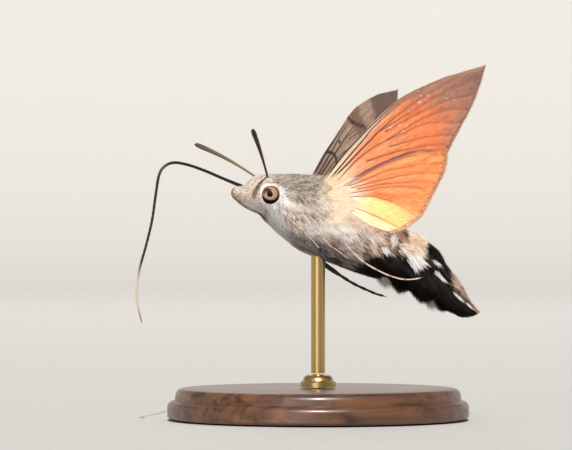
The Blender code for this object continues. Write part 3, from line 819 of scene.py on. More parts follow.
# %% Tube helper
def sweep(bm, path, radii, sides=10):
    """Adds a tube along places in mm of the moth's frame. radii has one value for each place."""
    heading = unit(np.gradient(path, axis=0))
    guide = np.array((0.0, 0.0, 1.0)) if abs(heading[:, 2]).mean() < 0.8 else np.array((1.0, 0.0, 0.0))
    across = unit(np.cross(heading, guide))
    other = np.cross(across, heading)
    turn = np.linspace(0, math.tau, sides, endpoint=False)
    last = None
    for k in range(len(path)):
        circle = bmesh.ops.create_circle(bm, segments=sides, radius=MM)["verts"]
        ring = path[k] + radii[k] * (np.outer(np.cos(turn), across[k]) + np.outer(np.sin(turn), other[k]))
        for vert, place in zip(circle, banked(ring)):
            vert.co = place
        edges = list({edge for vert in circle for edge in vert.link_edges})
        if last is None:
            bmesh.ops.edgeloop_fill(bm, edges=edges)
        else:
            bmesh.ops.bridge_loops(bm, edges=last + edges)
        last = edges
    bmesh.ops.edgeloop_fill(bm, edges=last)


def run_of(path):
    """Share of the path's length at each of its places, from 0 to 1."""
    run = np.concatenate(([0], np.cumsum(np.linalg.norm(np.diff(path, axis=0), axis=1))))
    return run / run[-1]


# %% [markdown]
# ## Eyes
#
# The eye is a glossy ball of thousands of facets. It looks gold-brown, with a dark spot where the
# facets point straight at the viewer and a dark rim below. The colours are bands round the
# direction the eye looks in, mixed in the shader from the ball's own coordinates.

# %% Eyes
# A band is an axis given as right, up and towards the viewer, and its colours by closeness to it.
# The first band is the eye's own colour; each later one darkens it near the band's axis.
CLEAR = (1, 1, 1)
EYE_BANDS = (
    ((0.0, 0.09, 0.996), (
        (0.0, srgb(84, 60, 46)), (0.66, srgb(122, 92, 70)), (0.80, srgb(168, 136, 108)),
        (0.88, srgb(140, 108, 84)), (0.925, srgb(196, 164, 136)), (0.948, srgb(150, 114, 88)),
        (0.962, srgb(70, 48, 38)), (0.974, srgb(7, 4, 6)),
    )),
    ((0.08, 0.33, 0.94), (
        (0.0, srgb(12, 6, 6)), (0.61, srgb(34, 16, 11)), (0.645, srgb(110, 66, 42)),
        (0.68, srgb(255, 240, 225)), (0.76, CLEAR),
    )),
    ((-0.03, 0.27, 0.962), (
        (0.0, CLEAR), (0.962, CLEAR), (0.98, srgb(106, 82, 74)), (1.0, srgb(60, 44, 44)),
    )),
    ((-0.10, 0.46, 0.885), (
        (0.0, CLEAR), (0.965, CLEAR), (0.985, srgb(130, 102, 90)), (1.0, srgb(104, 80, 72)),
    )),
    ((-0.52, 0.50, 0.69), (
        (0.0, CLEAR), (0.88, CLEAR), (0.95, srgb(170, 136, 112)), (1.0, srgb(140, 110, 90)),
    )),
)


def eye_axis(right, up, near, sign):
    """A direction on the eye, from its share to the picture's right, up and towards the viewer."""
    side, ahead = Vector((0.927, 0.375 * sign, 0.0)), Vector((-0.375, 0.927 * sign, 0.0))
    return (side * right + Vector((0, 0, up)) + ahead * near).normalized()


def eye_material(name, centre, sign):
    """Gold-brown bands round the dark spot, a dark trail above it and a dark crescent below."""
    material = new_material(name, roughness=0.42)
    shader = material.node_tree.nodes["Principled BSDF"]
    shader.inputs["Specular IOR Level"].default_value = 0.1
    place = add_node(material, "ShaderNodeTexCoord")
    centred = add_node(material, "ShaderNodeMapping")
    centred.inputs["Location"].default_value = -Vector(centre) / (EYE_RADIUS * MM)
    centred.inputs["Scale"].default_value = (1 / (EYE_RADIUS * MM),) * 3
    link(material, place, "Object", centred, "Vector")
    colour = None
    for axis, stops in EYE_BANDS:
        dot = add_node(material, "ShaderNodeVectorMath", operation="DOT_PRODUCT")
        dot.inputs[1].default_value = eye_axis(*axis, sign)
        link(material, centred, "Vector", dot, 0)
        ramp = tone_ramp(material, stops)
        link(material, dot, "Value", ramp, "Fac")
        if colour is None:
            colour = ramp.outputs["Color"]
            continue
        mixed = add_node(material, "ShaderNodeMix", data_type="RGBA", blend_type="MULTIPLY")
        mixed.inputs["Factor"].default_value = 1.0
        material.node_tree.links.new(colour, mixed.inputs[6])
        link(material, ramp, "Color", mixed, 7)
        colour = mixed.outputs[2]
    material.node_tree.links.new(colour, shader.inputs["Base Color"])
    facets = add_node(material, "ShaderNodeTexVoronoi", Scale=34.0)
    link(material, centred, "Vector", facets, "Vector")
    rough_surface(material, facets, "Distance", 0.2, 0.00002)
    return material


for side_name, sign in (("left", -1), ("right", 1)):
    centre = banked(np.array((EYE_PLACE[0], sign * EYE_PLACE[1], EYE_PLACE[2])))
    ball = bmesh.new()
    bmesh.ops.create_uvsphere(ball, u_segments=64, v_segments=32, radius=EYE_RADIUS * MM)
    bmesh.ops.rotate(ball, verts=ball.verts, cent=(0, 0, 0), matrix=Matrix.Rotation(math.pi / 2, 3, "X"))
    bmesh.ops.translate(ball, verts=ball.verts, vec=centre)
    eye = show("eye_ball_" + side_name, ball, eye_material("eye_" + side_name, centre, sign))
    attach(eye, "root")
    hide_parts("eye_" + side_name)

# %% [markdown]
# ## Feelers
#
# Each feeler has about fifty short joints. It thickens slowly to a club and ends in a fine hooked point. It
# is dark on its outer side and olive-gold on its inner side; the gold is partly the feeler's paler side and
# partly painted sheen.

# %% Feelers
FEELER_BASE = np.array((-6.15, 0.70, 26.6))
FEELER_TIP = np.array((-11.35, 9.15, 31.75))
FEELER_JOINTS = 46
TUBE_SIDES = 12
feeler_material = painted_material("feeler_horn", "paint", 0.5)


def feeler(side_name, sign):
    """A jointed club; sign is -1 for the left side."""
    steps = FEELER_JOINTS * 4 + 1
    t = np.linspace(0, 1, steps)
    path = FEELER_BASE + np.outer(t, FEELER_TIP - FEELER_BASE)
    path[:, 2] += 0.35 * np.sin(math.pi * t)
    hook = soft(t, 0.95, 1.0)
    path += np.outer(hook, (0.15, 0.05, -0.12))
    path[:, 1] *= sign
    radius = np.interp(
        t, (0, 0.02, 0.3, 0.7, 0.88, 0.95, 0.985, 1), (0.17, 0.12, 0.14, 0.24, 0.29, 0.24, 0.10, 0.04)
    )
    joint = (t * FEELER_JOINTS) % 1.0
    radius = radius * (1 - 0.06 * np.exp(-(((joint - 0.5) / 0.16) ** 2)))
    bm = bmesh.new()
    sweep(bm, path, radius, sides=TUBE_SIDES)
    bmesh.ops.recalc_face_normals(bm, faces=bm.faces)
    piece = show("feeler_" + side_name, bm, feeler_material)
    places = np.array([v.co for v in piece.data.vertices])
    row = np.clip(np.arange(len(places)) // TUBE_SIDES, 0, steps - 1)
    # the inner side is olive-gold: partly the feeler's paler side and partly painted sheen
    inner = soft(-(places - banked(path)[row])[:, 1] * sign / (0.3 * MM), -0.35, 0.35)[:, None]
    share = (row / (steps - 1))[:, None]
    gold = np.array(srgb(140, 118, 84)) * (1 - share) + np.array(srgb(72, 58, 40)) * share
    dark = np.array(srgb(76, 44, 34)) * (1 - share) + np.array(srgb(34, 25, 22)) * share
    ring = 0.88 + 0.12 * np.cos(share * FEELER_JOINTS * math.tau)
    colour_attribute(piece.data, "paint", (dark * (1 - inner) + gold * inner) * ring)
    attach(piece, "root")
    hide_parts("antenna_" + side_name)


feeler("left", -1)
feeler("right", 1)

# %% [markdown]
# ## Proboscis
#
# The sucking tube is two half-pipes zipped together, so the real one has a groove along each side; here it is
# a round tube with fine rings. It is black-brown, paler and yellowish towards the end, and dark again at its
# tip.

# %% Proboscis
PROBOSCIS_PATH = (  # x and z in mm
    (-8.3, 25.75), (-9.45, 26.25), (-11.5, 27.05), (-13.5, 27.85), (-15.5, 28.5), (-17.2, 28.75),
    (-18.35, 28.3), (-19.0, 27.3), (-19.45, 25.1), (-19.95, 22.3), (-20.7, 19.6),
    (-21.55, 16.9), (-21.95, 14.7), (-21.9, 13.1), (-21.45, 11.0),
)
PROBOSCIS_STEPS = 260
flat_path = curve_at(PROBOSCIS_PATH, np.linspace(0, 1, PROBOSCIS_STEPS))
tube_path = np.column_stack((flat_path[:, 0], np.zeros(PROBOSCIS_STEPS), flat_path[:, 1]))
tube_run = run_of(tube_path)
tube_radius = np.interp(tube_run, (0, 0.1, 0.7, 0.96, 1.0), (0.24, 0.175, 0.145, 0.12, 0.05))
tube_radius *= 1 + 0.05 * np.sin(np.arange(PROBOSCIS_STEPS) * math.pi / 2)
tube = bmesh.new()
sweep(tube, tube_path, tube_radius, sides=TUBE_SIDES)
bmesh.ops.recalc_face_normals(tube, faces=tube.faces)
proboscis = show("proboscis", tube, painted_material("proboscis_horn", "paint", 0.35))
share = tube_run[np.clip(np.arange(len(proboscis.data.vertices)) // TUBE_SIDES, 0, PROBOSCIS_STEPS - 1)]
pale = (between(share, 0.80, 0.975, 0.05) * 0.9)[:, None]
tube_colours = np.array(srgb(20, 14, 13)) * (1 - pale) + np.array(srgb(196, 178, 152)) * pale
colour_attribute(proboscis.data, "paint", tube_colours)
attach(proboscis, "root")
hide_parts("proboscis_root", "proboscis_bend", "proboscis_tip")

# %% [markdown]
# ## Wings
#
# A wing is a thin sheet stretched on veins. Its outline is three curves, the front edge, the outer
# margin and the rear edge, and a grid is fitted between them. A place on a wing is p along it from
# the base and q back across it, in mm. Upper and under side have their own colours.

# %% Wing planform
WING_BASE = np.array((-0.50, 2.35, 26.20))
WING_POSES = {"left": (33.2, 33.7, 6.0), "right": (33.0, 32.9, -4.4)}  # degrees swept back, raised, twisted
WING_LENGTH = 23.0
FORE_FRONT = (
    (-0.9, 0.1), (2.9, -1.1), (5.8, -2.0), (9.1, -2.75),
    (13.0, -3.1), (17.7, -2.1), (20.6, -1.0), (WING_LENGTH, 0.0),
)
FORE_OUTER = ((WING_LENGTH, 0.0), (20.9, 1.5), (18.6, 2.9), (15.5, 4.3), (12.8, 5.6))
FORE_REAR = ((-0.9, 1.3), (6.0, 4.0), (12.8, 5.6))
HIND_FRONT = ((-0.9, 1.35), (2.1, 1.3), (7.1, 1.9), (10.9, 3.0), (13.9, 5.1))
HIND_OUTER = ((13.9, 5.1), (12.2, 7.1), (9.8, 8.5), (7.3, 9.9), (4.9, 9.9), (3.3, 9.4))
HIND_REAR = ((-1.0, 2.4), (0.45, 3.6), (1.35, 6.0), (2.1, 7.7), (3.3, 9.4))
WING_SPLIT, WING_BOW, HIND_DROP = 0.34, 0.9, 1.6


def wing_axes(side_name):
    """Unit directions of a wing: to its tip, back across it, and up off its upper side."""
    sweep_back, raised, twist = (math.radians(v) for v in WING_POSES[side_name])
    level = math.cos(raised)
    tip = np.array((level * math.cos(sweep_back), level * math.sin(sweep_back), math.sin(raised)))
    down = np.array((0.0, 0.0, -1.0))
    flat = unit(down - tip * down.dot(tip))
    chord = flat * math.cos(twist) + np.cross(tip, flat) * math.sin(twist)
    return tip, chord, np.cross(chord, tip)


def bow(p):
    """How far a wing bends up along its length, in mm."""
    return WING_BOW * np.sin(math.pi * np.clip(p / WING_LENGTH, 0, 1))


def fore_lift(p, q):
    """How far the fore wing's sheet stands above the wings' middle plane, in mm."""
    return WING_SPLIT + bow(p)


def hind_lift(p, q):
    """The same for the hind wing, whose rear part hangs down."""
    return bow(p) - WING_SPLIT - HIND_DROP * np.maximum(0.0, (q - 3.0) / 7.0) ** 2


def wing_place(side_name, p, q, lift):
    """Places on a wing, in metres."""
    tip, chord, upper = wing_axes(side_name)
    place = WING_BASE + np.outer(p, tip) + np.outer(q, chord) + np.outer(lift, upper)
    place[:, 1] *= -1 if side_name == "left" else 1
    return banked(place)


def fit_between(front, outer, rear, along, across):
    """p and q of the patch between a wing's three edges."""
    edge_front, edge_rear = curve_at(front, along), curve_at(rear, along)
    edge_outer = curve_at(outer, across)
    u, v = along[:, None], across[:, None]
    straight = np.array(outer[0]) * (1 - v) + np.array(outer[-1]) * v
    return (edge_front * (1 - v) + edge_rear * v + (edge_outer - straight) * u).T


# %% Wing colours
def line_distance(p, q, points):
    """Distance in mm from places to a line through points."""
    path = curve_at(points, np.linspace(0, 1, 60))
    best = np.full(len(p), 1e9)
    for a, b in zip(path, path[1:]):
        d = b - a
        t = np.clip(((p - a[0]) * d[0] + (q - a[1]) * d[1]) / max(d.dot(d), 1e-9), 0, 1)
        best = np.minimum(best, np.hypot(p - a[0] - t * d[0], q - a[1] - t * d[1]))
    return best


def blend_in(colours, colour, share):
    """Lays one colour over others, with its share at each place."""
    return colours * (1 - share[:, None]) + np.array(colour) * share[:, None]


def fan_noise(p, q, fine, seed):
    """Noise in streaks that spread from the wing's base."""
    turn, run = np.arctan2(q + 0.2, p + 2.0), np.hypot(p, q)
    return 0.6 * noise(run / 2.6, turn * fine, seed) + 0.4 * noise(run / 1.1, turn * fine * 2.3, seed + 5)


FORE_FRONT_EDGE = ((0, 3, 6, 9, 13, 18, 23), (0.1, -1.1, -2.0, -2.75, -3.1, -2.0, 0))


def fore_under(p, q):
    """Under side of the fore wing: cream base, orange middle, brown tip, edges and front."""
    rough = fan_noise(p, q, 45, 21) - 0.5
    colours = np.tile(srgb(222, 112, 58), (len(p), 1))
    light = 0.8 * fan_noise(p, q, 30, 22) * (1 - 0.6 * soft(p, 8, 14))
    colours = blend_in(colours, srgb(244, 166, 112), light)
    dark = 0.7 * soft(fan_noise(p, q, 60, 23), 0.55, 0.85) * soft(p, 5, 10)
    colours = blend_in(colours, srgb(190, 84, 42), dark)
    front = q - np.interp(p, *FORE_FRONT_EDGE)
    brown_edge = np.interp(q, (-3.1, -2.0, -0.5, 1.5, 3.0, 4.5), (11.6, 13.6, 14.9, 15.8, 15.6, 13.6))
    brown_edge = brown_edge + rough * 2.6
    colours = blend_in(colours, srgb(152, 114, 96), 0.9 * soft(p, brown_edge - 2.4, brown_edge + 2.6))
    colours = blend_in(colours, srgb(126, 98, 86), soft(p, 17, 22) * 0.9)
    colours = blend_in(colours, srgb(212, 186, 156), (1 - soft(front, 0.55, 1.0)) * (1 - soft(p, 9, 13)))
    colours = blend_in(colours, srgb(158, 122, 100), (1 - soft(front, 0.3, 0.9)) * soft(p, 8, 12))
    colours = blend_in(colours, srgb(238, 206, 172), (1 - soft(p + rough * 2.4, 2.0, 5.6)))
    flecks = soft(noise(p / 0.55, (q - 0.1 * p) / 0.13, 27), 0.86, 0.97)
    flecks *= between(p, 8.6, 17.5, 1.5) * (1 - soft(q, 0.6, 2.0))
    return blend_in(colours, srgb(250, 222, 204), 0.6 * flecks) * 0.95


def hind_under(p, q):
    """Under side of the hind wing: orange, with a grey painted shadow along its front under the fore wing's
    edge, a yellow rear field and a pale base.
    """
    rough = fan_noise(p, q, 45, 31) - 0.5
    colours = np.tile(srgb(228, 114, 58), (len(p), 1))
    colours = blend_in(colours, srgb(248, 168, 106), 0.85 * fan_noise(p, q, 34, 32))
    dark = 0.6 * soft(fan_noise(p, q, 60, 33), 0.55, 0.85) * soft(p, 5, 9)
    colours = blend_in(colours, srgb(196, 88, 44), dark)
    front = q - np.interp(p, (0, 3, 7, 11, 14), (1.3, 1.35, 1.9, 3.0, 5.1))
    # painted shadow: a grey band along the front edge, where the fore wing's rear edge lies over it
    colours = blend_in(colours, srgb(96, 76, 72), (1 - soft(front, 0.2, 0.5)) * between(p, 2.8, 13.4, 0.8))
    yellow_edge = np.interp(q, (2.0, 3.3, 4.4, 5.7, 7.5, 9.6), (0.5, 2.1, 3.7, 4.9, 6.0, 7.2)) + rough * 1.0
    field = 1 - soft(p, yellow_edge - 0.7, yellow_edge + 0.5)
    streak = np.exp(-(((p - yellow_edge - 0.45) / 0.4) ** 2)) * 0.75 * (1 - soft(p, 4.6, 7))
    colours = blend_in(colours, srgb(210, 96, 40), streak)
    colours = blend_in(colours, srgb(246, 208, 132), field)
    colours = blend_in(colours, srgb(240, 178, 116), field * soft(p + rough, 4.0, 7.2))
    rear = p - np.interp(q, (2.4, 3.6, 6.0, 7.7, 9.4), (-1.0, 0.45, 1.35, 2.1, 3.3))
    colours = blend_in(colours, srgb(248, 214, 178), (1 - soft(rear + rough, 0.5, 1.5)) * 0.8)
    pale = 1 - soft(np.hypot(p, (q - 2.2) * 0.75) + rough * 2.0, 2.2, 4.8)
    colours = blend_in(colours, srgb(238, 214, 184), pale)
    return blend_in(colours, srgb(176, 104, 70), soft(p + 0.75 * q, 16.6, 18.2) * 0.5)


def fore_over(p, q):
    """Upper side of the fore wing: grey-brown, with two dark wavy lines, a spot and a dark outer band."""
    rough = noise(p / 0.5, q / 0.5, 41) - 0.5
    colours = np.tile(srgb(184, 160, 136), (len(p), 1))
    colours = blend_in(colours, srgb(150, 126, 108), fan_noise(p, q, 50, 42))
    ante = ((1.9, -1.3), (2.9, -2.1), (4.7, -1.8), (5.9, -0.8), (5.7, 0.6), (6.4, 1.8), (6.0, 3.9))
    post = (
        (10.7, -3.3), (10.9, -2.4), (11.8, -1.3), (12.8, -0.4),
        (12.5, 1.0), (11.7, 2.4), (12.0, 3.8), (11.6, 5.4),
    )
    colours = blend_in(colours, srgb(120, 92, 76), between(p, 2.0, 5.0, 0.8) * 0.35)
    colours = blend_in(colours, srgb(110, 78, 66), 0.75 * between(p + rough, 10.9, 13.0, 0.6))
    wobble = rough * 0.12
    colours = blend_in(colours, srgb(44, 30, 28), 1 - soft(line_distance(p, q, ante) + wobble, 0.1, 0.34))
    colours = blend_in(colours, srgb(54, 36, 34), 1 - soft(line_distance(p, q, post) + wobble, 0.12, 0.4))
    colours = blend_in(colours, srgb(60, 42, 38), 1 - soft(np.hypot(p - 7.6, q + 1.5), 0.16, 0.3))
    colours = blend_in(colours, srgb(98, 68, 60), 0.9 * soft(p + 0.3 * q + rough, 14.6, 16.0))
    return blend_in(colours, srgb(196, 164, 140), (1 - soft(p, 0.5, 3.0)) * 0.7)


def hind_over(p, q):
    """Upper side of the hind wing: bright orange, darker at its base and brown along its margin."""
    colours = np.tile(srgb(232, 132, 56), (len(p), 1))
    colours = blend_in(colours, srgb(206, 106, 44), fan_noise(p, q, 40, 52))
    colours = blend_in(colours, srgb(96, 62, 46), 1 - soft(np.hypot(p, q - 2.0), 1.2, 3.2))
    return blend_in(colours, srgb(120, 66, 42), soft(p + 0.75 * q, 15.6, 17.4))

# %% Wing material with streaks that spread from the base
def wing_material(name, attribute):
    """Painted colour, broken by fine streaks that run out from the wing's base."""
    material = new_material(name, roughness=0.62, Sheen_Weight=0.15)
    shader = material.node_tree.nodes["Principled BSDF"]
    shader.inputs["Specular IOR Level"].default_value = 0.3
    paint = add_node(material, "ShaderNodeAttribute", attribute_name=attribute)
    fan = add_node(material, "ShaderNodeUVMap", uv_map="fan")
    stretch = stretched(material, fan, "UV", (30.0, 330.0, 1.0))
    streaks = add_node(material, "ShaderNodeTexNoise", Scale=1.0, Detail=4.0, Roughness=0.65)
    link(material, stretch, "Vector", streaks, "Vector")
    tones = tone_ramp(material, ((0.32, (0.58, 0.50, 0.46)), (0.68, (1.14, 1.18, 1.24))))
    link(material, streaks, "Fac", tones, "Fac")
    mixed = add_node(material, "ShaderNodeMix", data_type="RGBA", blend_type="MULTIPLY")
    mixed.inputs["Factor"].default_value = 1.0
    link(material, paint, "Color", mixed, 6)
    link(material, tones, "Color", mixed, 7)
    link(material, mixed, 2, shader, "Base Color")
    rough_surface(material, streaks, "Fac", 0.4, 0.00004)
    return material


over_material = wing_material("wing_scales_over", "over")
under_material = wing_material("wing_scales_under", "under")

# %% Wing sheets
WING_THICKNESS = 0.14
SHEET_SHARE = 0.962  # the fringe makes the rest of the wing's length
EDGE_GAP = 0.012  # share of the wing's width that the sheet leaves at its front and rear edges
WING_CENTRE = (-2.0, 0.6)  # where the streaks fan out from, as p and q
FORE_VEINS = (
    ((0.0, -0.1), (3.9, -1.45), (6.3, -2.0), (9.0, -2.5), (13.0, -2.85), (17.5, -1.9)),
    ((0.3, 0.2), (4.1, -0.9), (6.7, -1.6), (8.5, -2.1), (12.0, -2.5), (15.5, -2.2)),
    ((0.6, 0.3), (4.4, -0.5), (6.9, -1.0), (10.0, -1.5), (14.0, -1.6), (19.4, -1.0)),
    ((8.6, -1.3), (13.0, -1.0), (17.5, -0.4), (21.0, 0.5)),
    ((9.2, -0.9), (13.5, -0.3), (17.0, 0.5), (19.9, 1.8)),
    ((8.8, 0.0), (13.0, 0.4), (16.3, 1.3), (18.3, 2.8)),
    ((1.0, 0.8), (5.0, -0.1), (7.9, -0.1), (10.4, 0.4), (12.8, 0.9), (14.3, 1.6), (15.4, 2.4), (16.9, 3.5)),
    ((8.6, 0.8), (10.4, 1.5), (11.7, 2.0), (13.0, 2.6), (14.8, 3.7), (15.4, 4.2)),
    ((5.6, 0.7), (8.5, 1.6), (11.4, 2.9), (13.3, 4.0), (14.0, 4.8)),
    ((0.6, 1.3), (4.0, 2.2), (8.0, 3.5), (12.4, 5.3)),
)
HIND_VEINS = (
    ((0.4, 1.6), (3.0, 1.75), (7.0, 2.15), (10.6, 3.3), (13.4, 5.1)),
    ((2.0, 1.9), (5.2, 2.1), (6.8, 2.3), (8.9, 2.9), (10.1, 3.4), (11.7, 4.2), (13.2, 5.6)),
    ((2.5, 2.1), (5.1, 2.7), (6.6, 3.0), (8.6, 3.9), (10.7, 5.0), (12.6, 6.3)),
    ((2.5, 2.4), (5.2, 3.4), (7.8, 4.5), (9.9, 5.7), (11.7, 7.0)),
    ((3.0, 2.9), (5.6, 4.1), (7.4, 5.2), (9.1, 6.3), (10.6, 7.7)),
    ((2.2, 2.9), (4.1, 3.8), (5.6, 4.5), (7.2, 5.6), (8.7, 6.9), (9.4, 8.4)),
    ((1.6, 3.0), (3.7, 4.4), (4.9, 5.7), (6.0, 7.5), (6.9, 9.6)),
    ((0.8, 3.4), (2.2, 5.4), (3.4, 7.4), (4.5, 9.5)),
)
FORE_EDGES = (FORE_FRONT, FORE_OUTER, FORE_REAR)
HIND_EDGES = (HIND_FRONT, HIND_OUTER, HIND_REAR)
WING_PARTS = {
    "forewing": (FORE_EDGES, fore_lift, fore_over, fore_under, FORE_VEINS, "wing_brown"),
    "hindwing": (HIND_EDGES, hind_lift, hind_over, hind_under, HIND_VEINS, "wing_orange"),
}


def wing_sheet(part, side_name):
    """The membrane: a fitted grid, pleated between its veins, with a second material below."""
    edges, lift, over, under, veins, slot = WING_PARTS[part]
    columns, rows = 150, 56
    bm = bmesh.new()
    bmesh.ops.create_grid(bm, x_segments=columns, y_segments=rows, size=0.5)
    flat = np.array([v.co for v in bm.verts])
    along = 0.02 + SHEET_SHARE * (flat[:, 0] + 0.5)
    across = EDGE_GAP + (1 - 2 * EDGE_GAP) * (flat[:, 1] + 0.5)
    p, q = fit_between(*edges, along, across)
    from_vein = np.min([line_distance(p, q, vein) for vein in veins], axis=0)
    pleat = 0.10 * (np.exp(-((from_vein / 0.45) ** 2)) - 0.5) * soft(p, 1, 4)
    for vert, place in zip(bm.verts, wing_place(side_name, p, q, lift(p, q) + pleat)):
        vert.co = place
    bm.normal_update()
    upper = wing_axes(side_name)[2] * (1, -1 if side_name == "left" else 1, 1)
    mean = sum((f.normal for f in bm.faces), Vector())
    if mean.dot(Vector(upper)) < 0:
        bmesh.ops.reverse_faces(bm, faces=bm.faces)
    piece = show(f"{part}_sheet_{side_name}", bm, over_material)
    piece.data.materials.append(under_material)
    colour_attribute(piece.data, "over", over(p, q))
    dark_lines = 0.45 * np.exp(-((from_vein / 0.15) ** 2)) * soft(p, 1.5, 4)
    colour_attribute(piece.data, "under", blend_in(under(p, q), srgb(128, 58, 34), dark_lines))
    uv = piece.data.uv_layers.new(name="fan")
    from_p, from_q = p - WING_CENTRE[0], q - WING_CENTRE[1]
    fan = np.column_stack((np.hypot(from_p, from_q) / 25, np.arctan2(from_q, from_p) / 2))
    corner = np.zeros(len(piece.data.loops), np.int32)
    piece.data.loops.foreach_get("vertex_index", corner)
    uv.data.foreach_set("uv", fan[corner].ravel())
    thick = piece.modifiers.new("thickness", "SOLIDIFY")
    thick.thickness = WING_THICKNESS * MM
    thick.offset = 0.0
    thick.material_offset = 1
    thick.use_even_offset = False
    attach(piece, "root")
    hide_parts(f"{part}_{side_name}")


for part in WING_PARTS:
    for side_name in ("left", "right"):
        wing_sheet(part, side_name)
print("wing sheets made:", len(WING_PARTS) * 2)

# %% [markdown]
# ## Veins
#
# The veins are stiff hollow ribs that carry the sheet. Each is a thin tube sunk in the middle of
# the sheet, so it stands a little proud on both sides and tapers to the margin.

# %% Veins
VEIN_SIDES = 8
vein_material = painted_material("vein_horn", "paint", 0.5)


def unbanked(places):
    """Places in the stand's frame in metres back to the moth's own frame in mm."""
    x, y, z = places[..., 0] / MM, places[..., 1] / MM, places[..., 2] / MM - BANK_AXIS_Z
    aside = y * math.cos(BANK) + z * math.sin(BANK)
    upward = z * math.cos(BANK) - y * math.sin(BANK) + BANK_AXIS_Z
    return np.stack((x, aside, upward), axis=-1)


def wing_veins(part, side_name):
    """All veins of one wing as one piece, dark in front and brown behind."""
    _, lift, _, _, veins, slot = WING_PARTS[part]
    bm = bmesh.new()
    shades = []
    for number, vein in enumerate(veins):
        p, q = curve_at(vein, np.linspace(0, 1, 40)).T
        path = unbanked(wing_place(side_name, p, q, lift(p, q) + 0.05 * soft(p, 1, 4)))
        thick = 0.135 if part == "forewing" and number < 3 else 0.09
        sweep(bm, path, np.linspace(thick, 0.072, len(p)), sides=VEIN_SIDES)
        along = np.repeat(p, VEIN_SIDES)
        if part == "forewing":
            base = np.tile(srgb(48, 28, 22), (len(along), 1))
            base = blend_in(base, srgb(150, 84, 52), soft(along, 7, 13) * 0.8)
        else:
            base = np.tile(srgb(126, 64, 40), (len(along), 1))
        shades.append(blend_in(base, srgb(226, 190, 154), (1 - soft(along, 0.6, 2.0)) * 0.7))
    bmesh.ops.recalc_face_normals(bm, faces=bm.faces)
    piece = show(f"{part}_veins_{side_name}", bm, vein_material)
    colour_attribute(piece.data, "paint", np.concatenate(shades))
    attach(piece, "root")


for part in WING_PARTS:
    for side_name in ("left", "right"):
        wing_veins(part, side_name)

# %% [markdown]
# ## Fringes and the hair on the wing roots
#
# The outer margins end in a fringe of long scales. The roots of the wings are buried in pale hair
# that runs out from the chest over the base of the wing, below and above.

# %% Fringes
def upward(side_name, p, q):
    """Directions straight out of a wing's upper side."""
    return unit(wing_place(side_name, p, q, np.ones(len(p))) - wing_place(side_name, p, q, np.zeros(len(p))))


def fringe(part, side_name, count, seed):
    """Two layers of long scales along a wing's outer margin."""
    edges, lift, _, _, _, slot = WING_PARTS[part]
    random = np.random.default_rng(seed)
    across = (np.arange(count) + random.random(count)) / count
    layer = random.choice((0.0, 1.0), count)
    along = np.full(count, SHEET_SHARE + 0.008) + 0.012 * layer
    p0, q0 = fit_between(*edges, along, EDGE_GAP + (1 - 2 * EDGE_GAP) * across)
    out = unit(np.column_stack((p0 - WING_CENTRE[0], q0 - WING_CENTRE[1])))
    if part == "forewing":
        reach = random.uniform(0.3, 0.5, count) * np.interp(across, (0, 0.2, 1), (0.6, 1, 1.2))
    else:
        reach = random.uniform(0.4, 0.6, count) * np.interp(across, (0, 0.5, 1), (1, 1.1, 1.5))
    swing = random.normal(0, 0.13, count)
    out = np.column_stack((out[:, 0] - swing * out[:, 1], out[:, 1] + swing * out[:, 0]))
    rings = []
    for t in (0.0, 0.55, 1.0):
        p, q = p0 + out[:, 0] * reach * t, q0 + out[:, 1] * reach * t
        off = (layer - 0.5) * 0.06 * (1 - t) + random.normal(0, 0.03, count) * t
        rings.append(wing_place(side_name, p, q, lift(p, q) + off))
    upper = upward(side_name, p0, q0)
    if part == "forewing":
        colours = blend_in(np.tile(srgb(190, 150, 126), (count, 1)), srgb(156, 118, 98), random.random(count))
    else:
        light = soft(across, 0.35, 0.75) * 0.9
        colours = np.tile(srgb(214, 158, 118), (count, 1))
        colours = blend_in(colours, srgb(246, 212, 176), light * random.random(count))
        colours = blend_in(colours, srgb(160, 104, 74), (random.random(count) < 0.25) * 0.6)
    uv = np.column_stack((0.02 + 0.96 * across, 0.3 + 0.4 * layer))
    widths = random.uniform(0.07, 0.11, count)
    name = f"{part}_fringe_{side_name}"
    return tufts(name, rings, upper, widths, colours, uv, lit_as_skin=False)


for number, side_name in enumerate(("left", "right")):
    fringe("forewing", side_name, 900, 60 + number)
    fringe("hindwing", side_name, 1100, 64 + number)

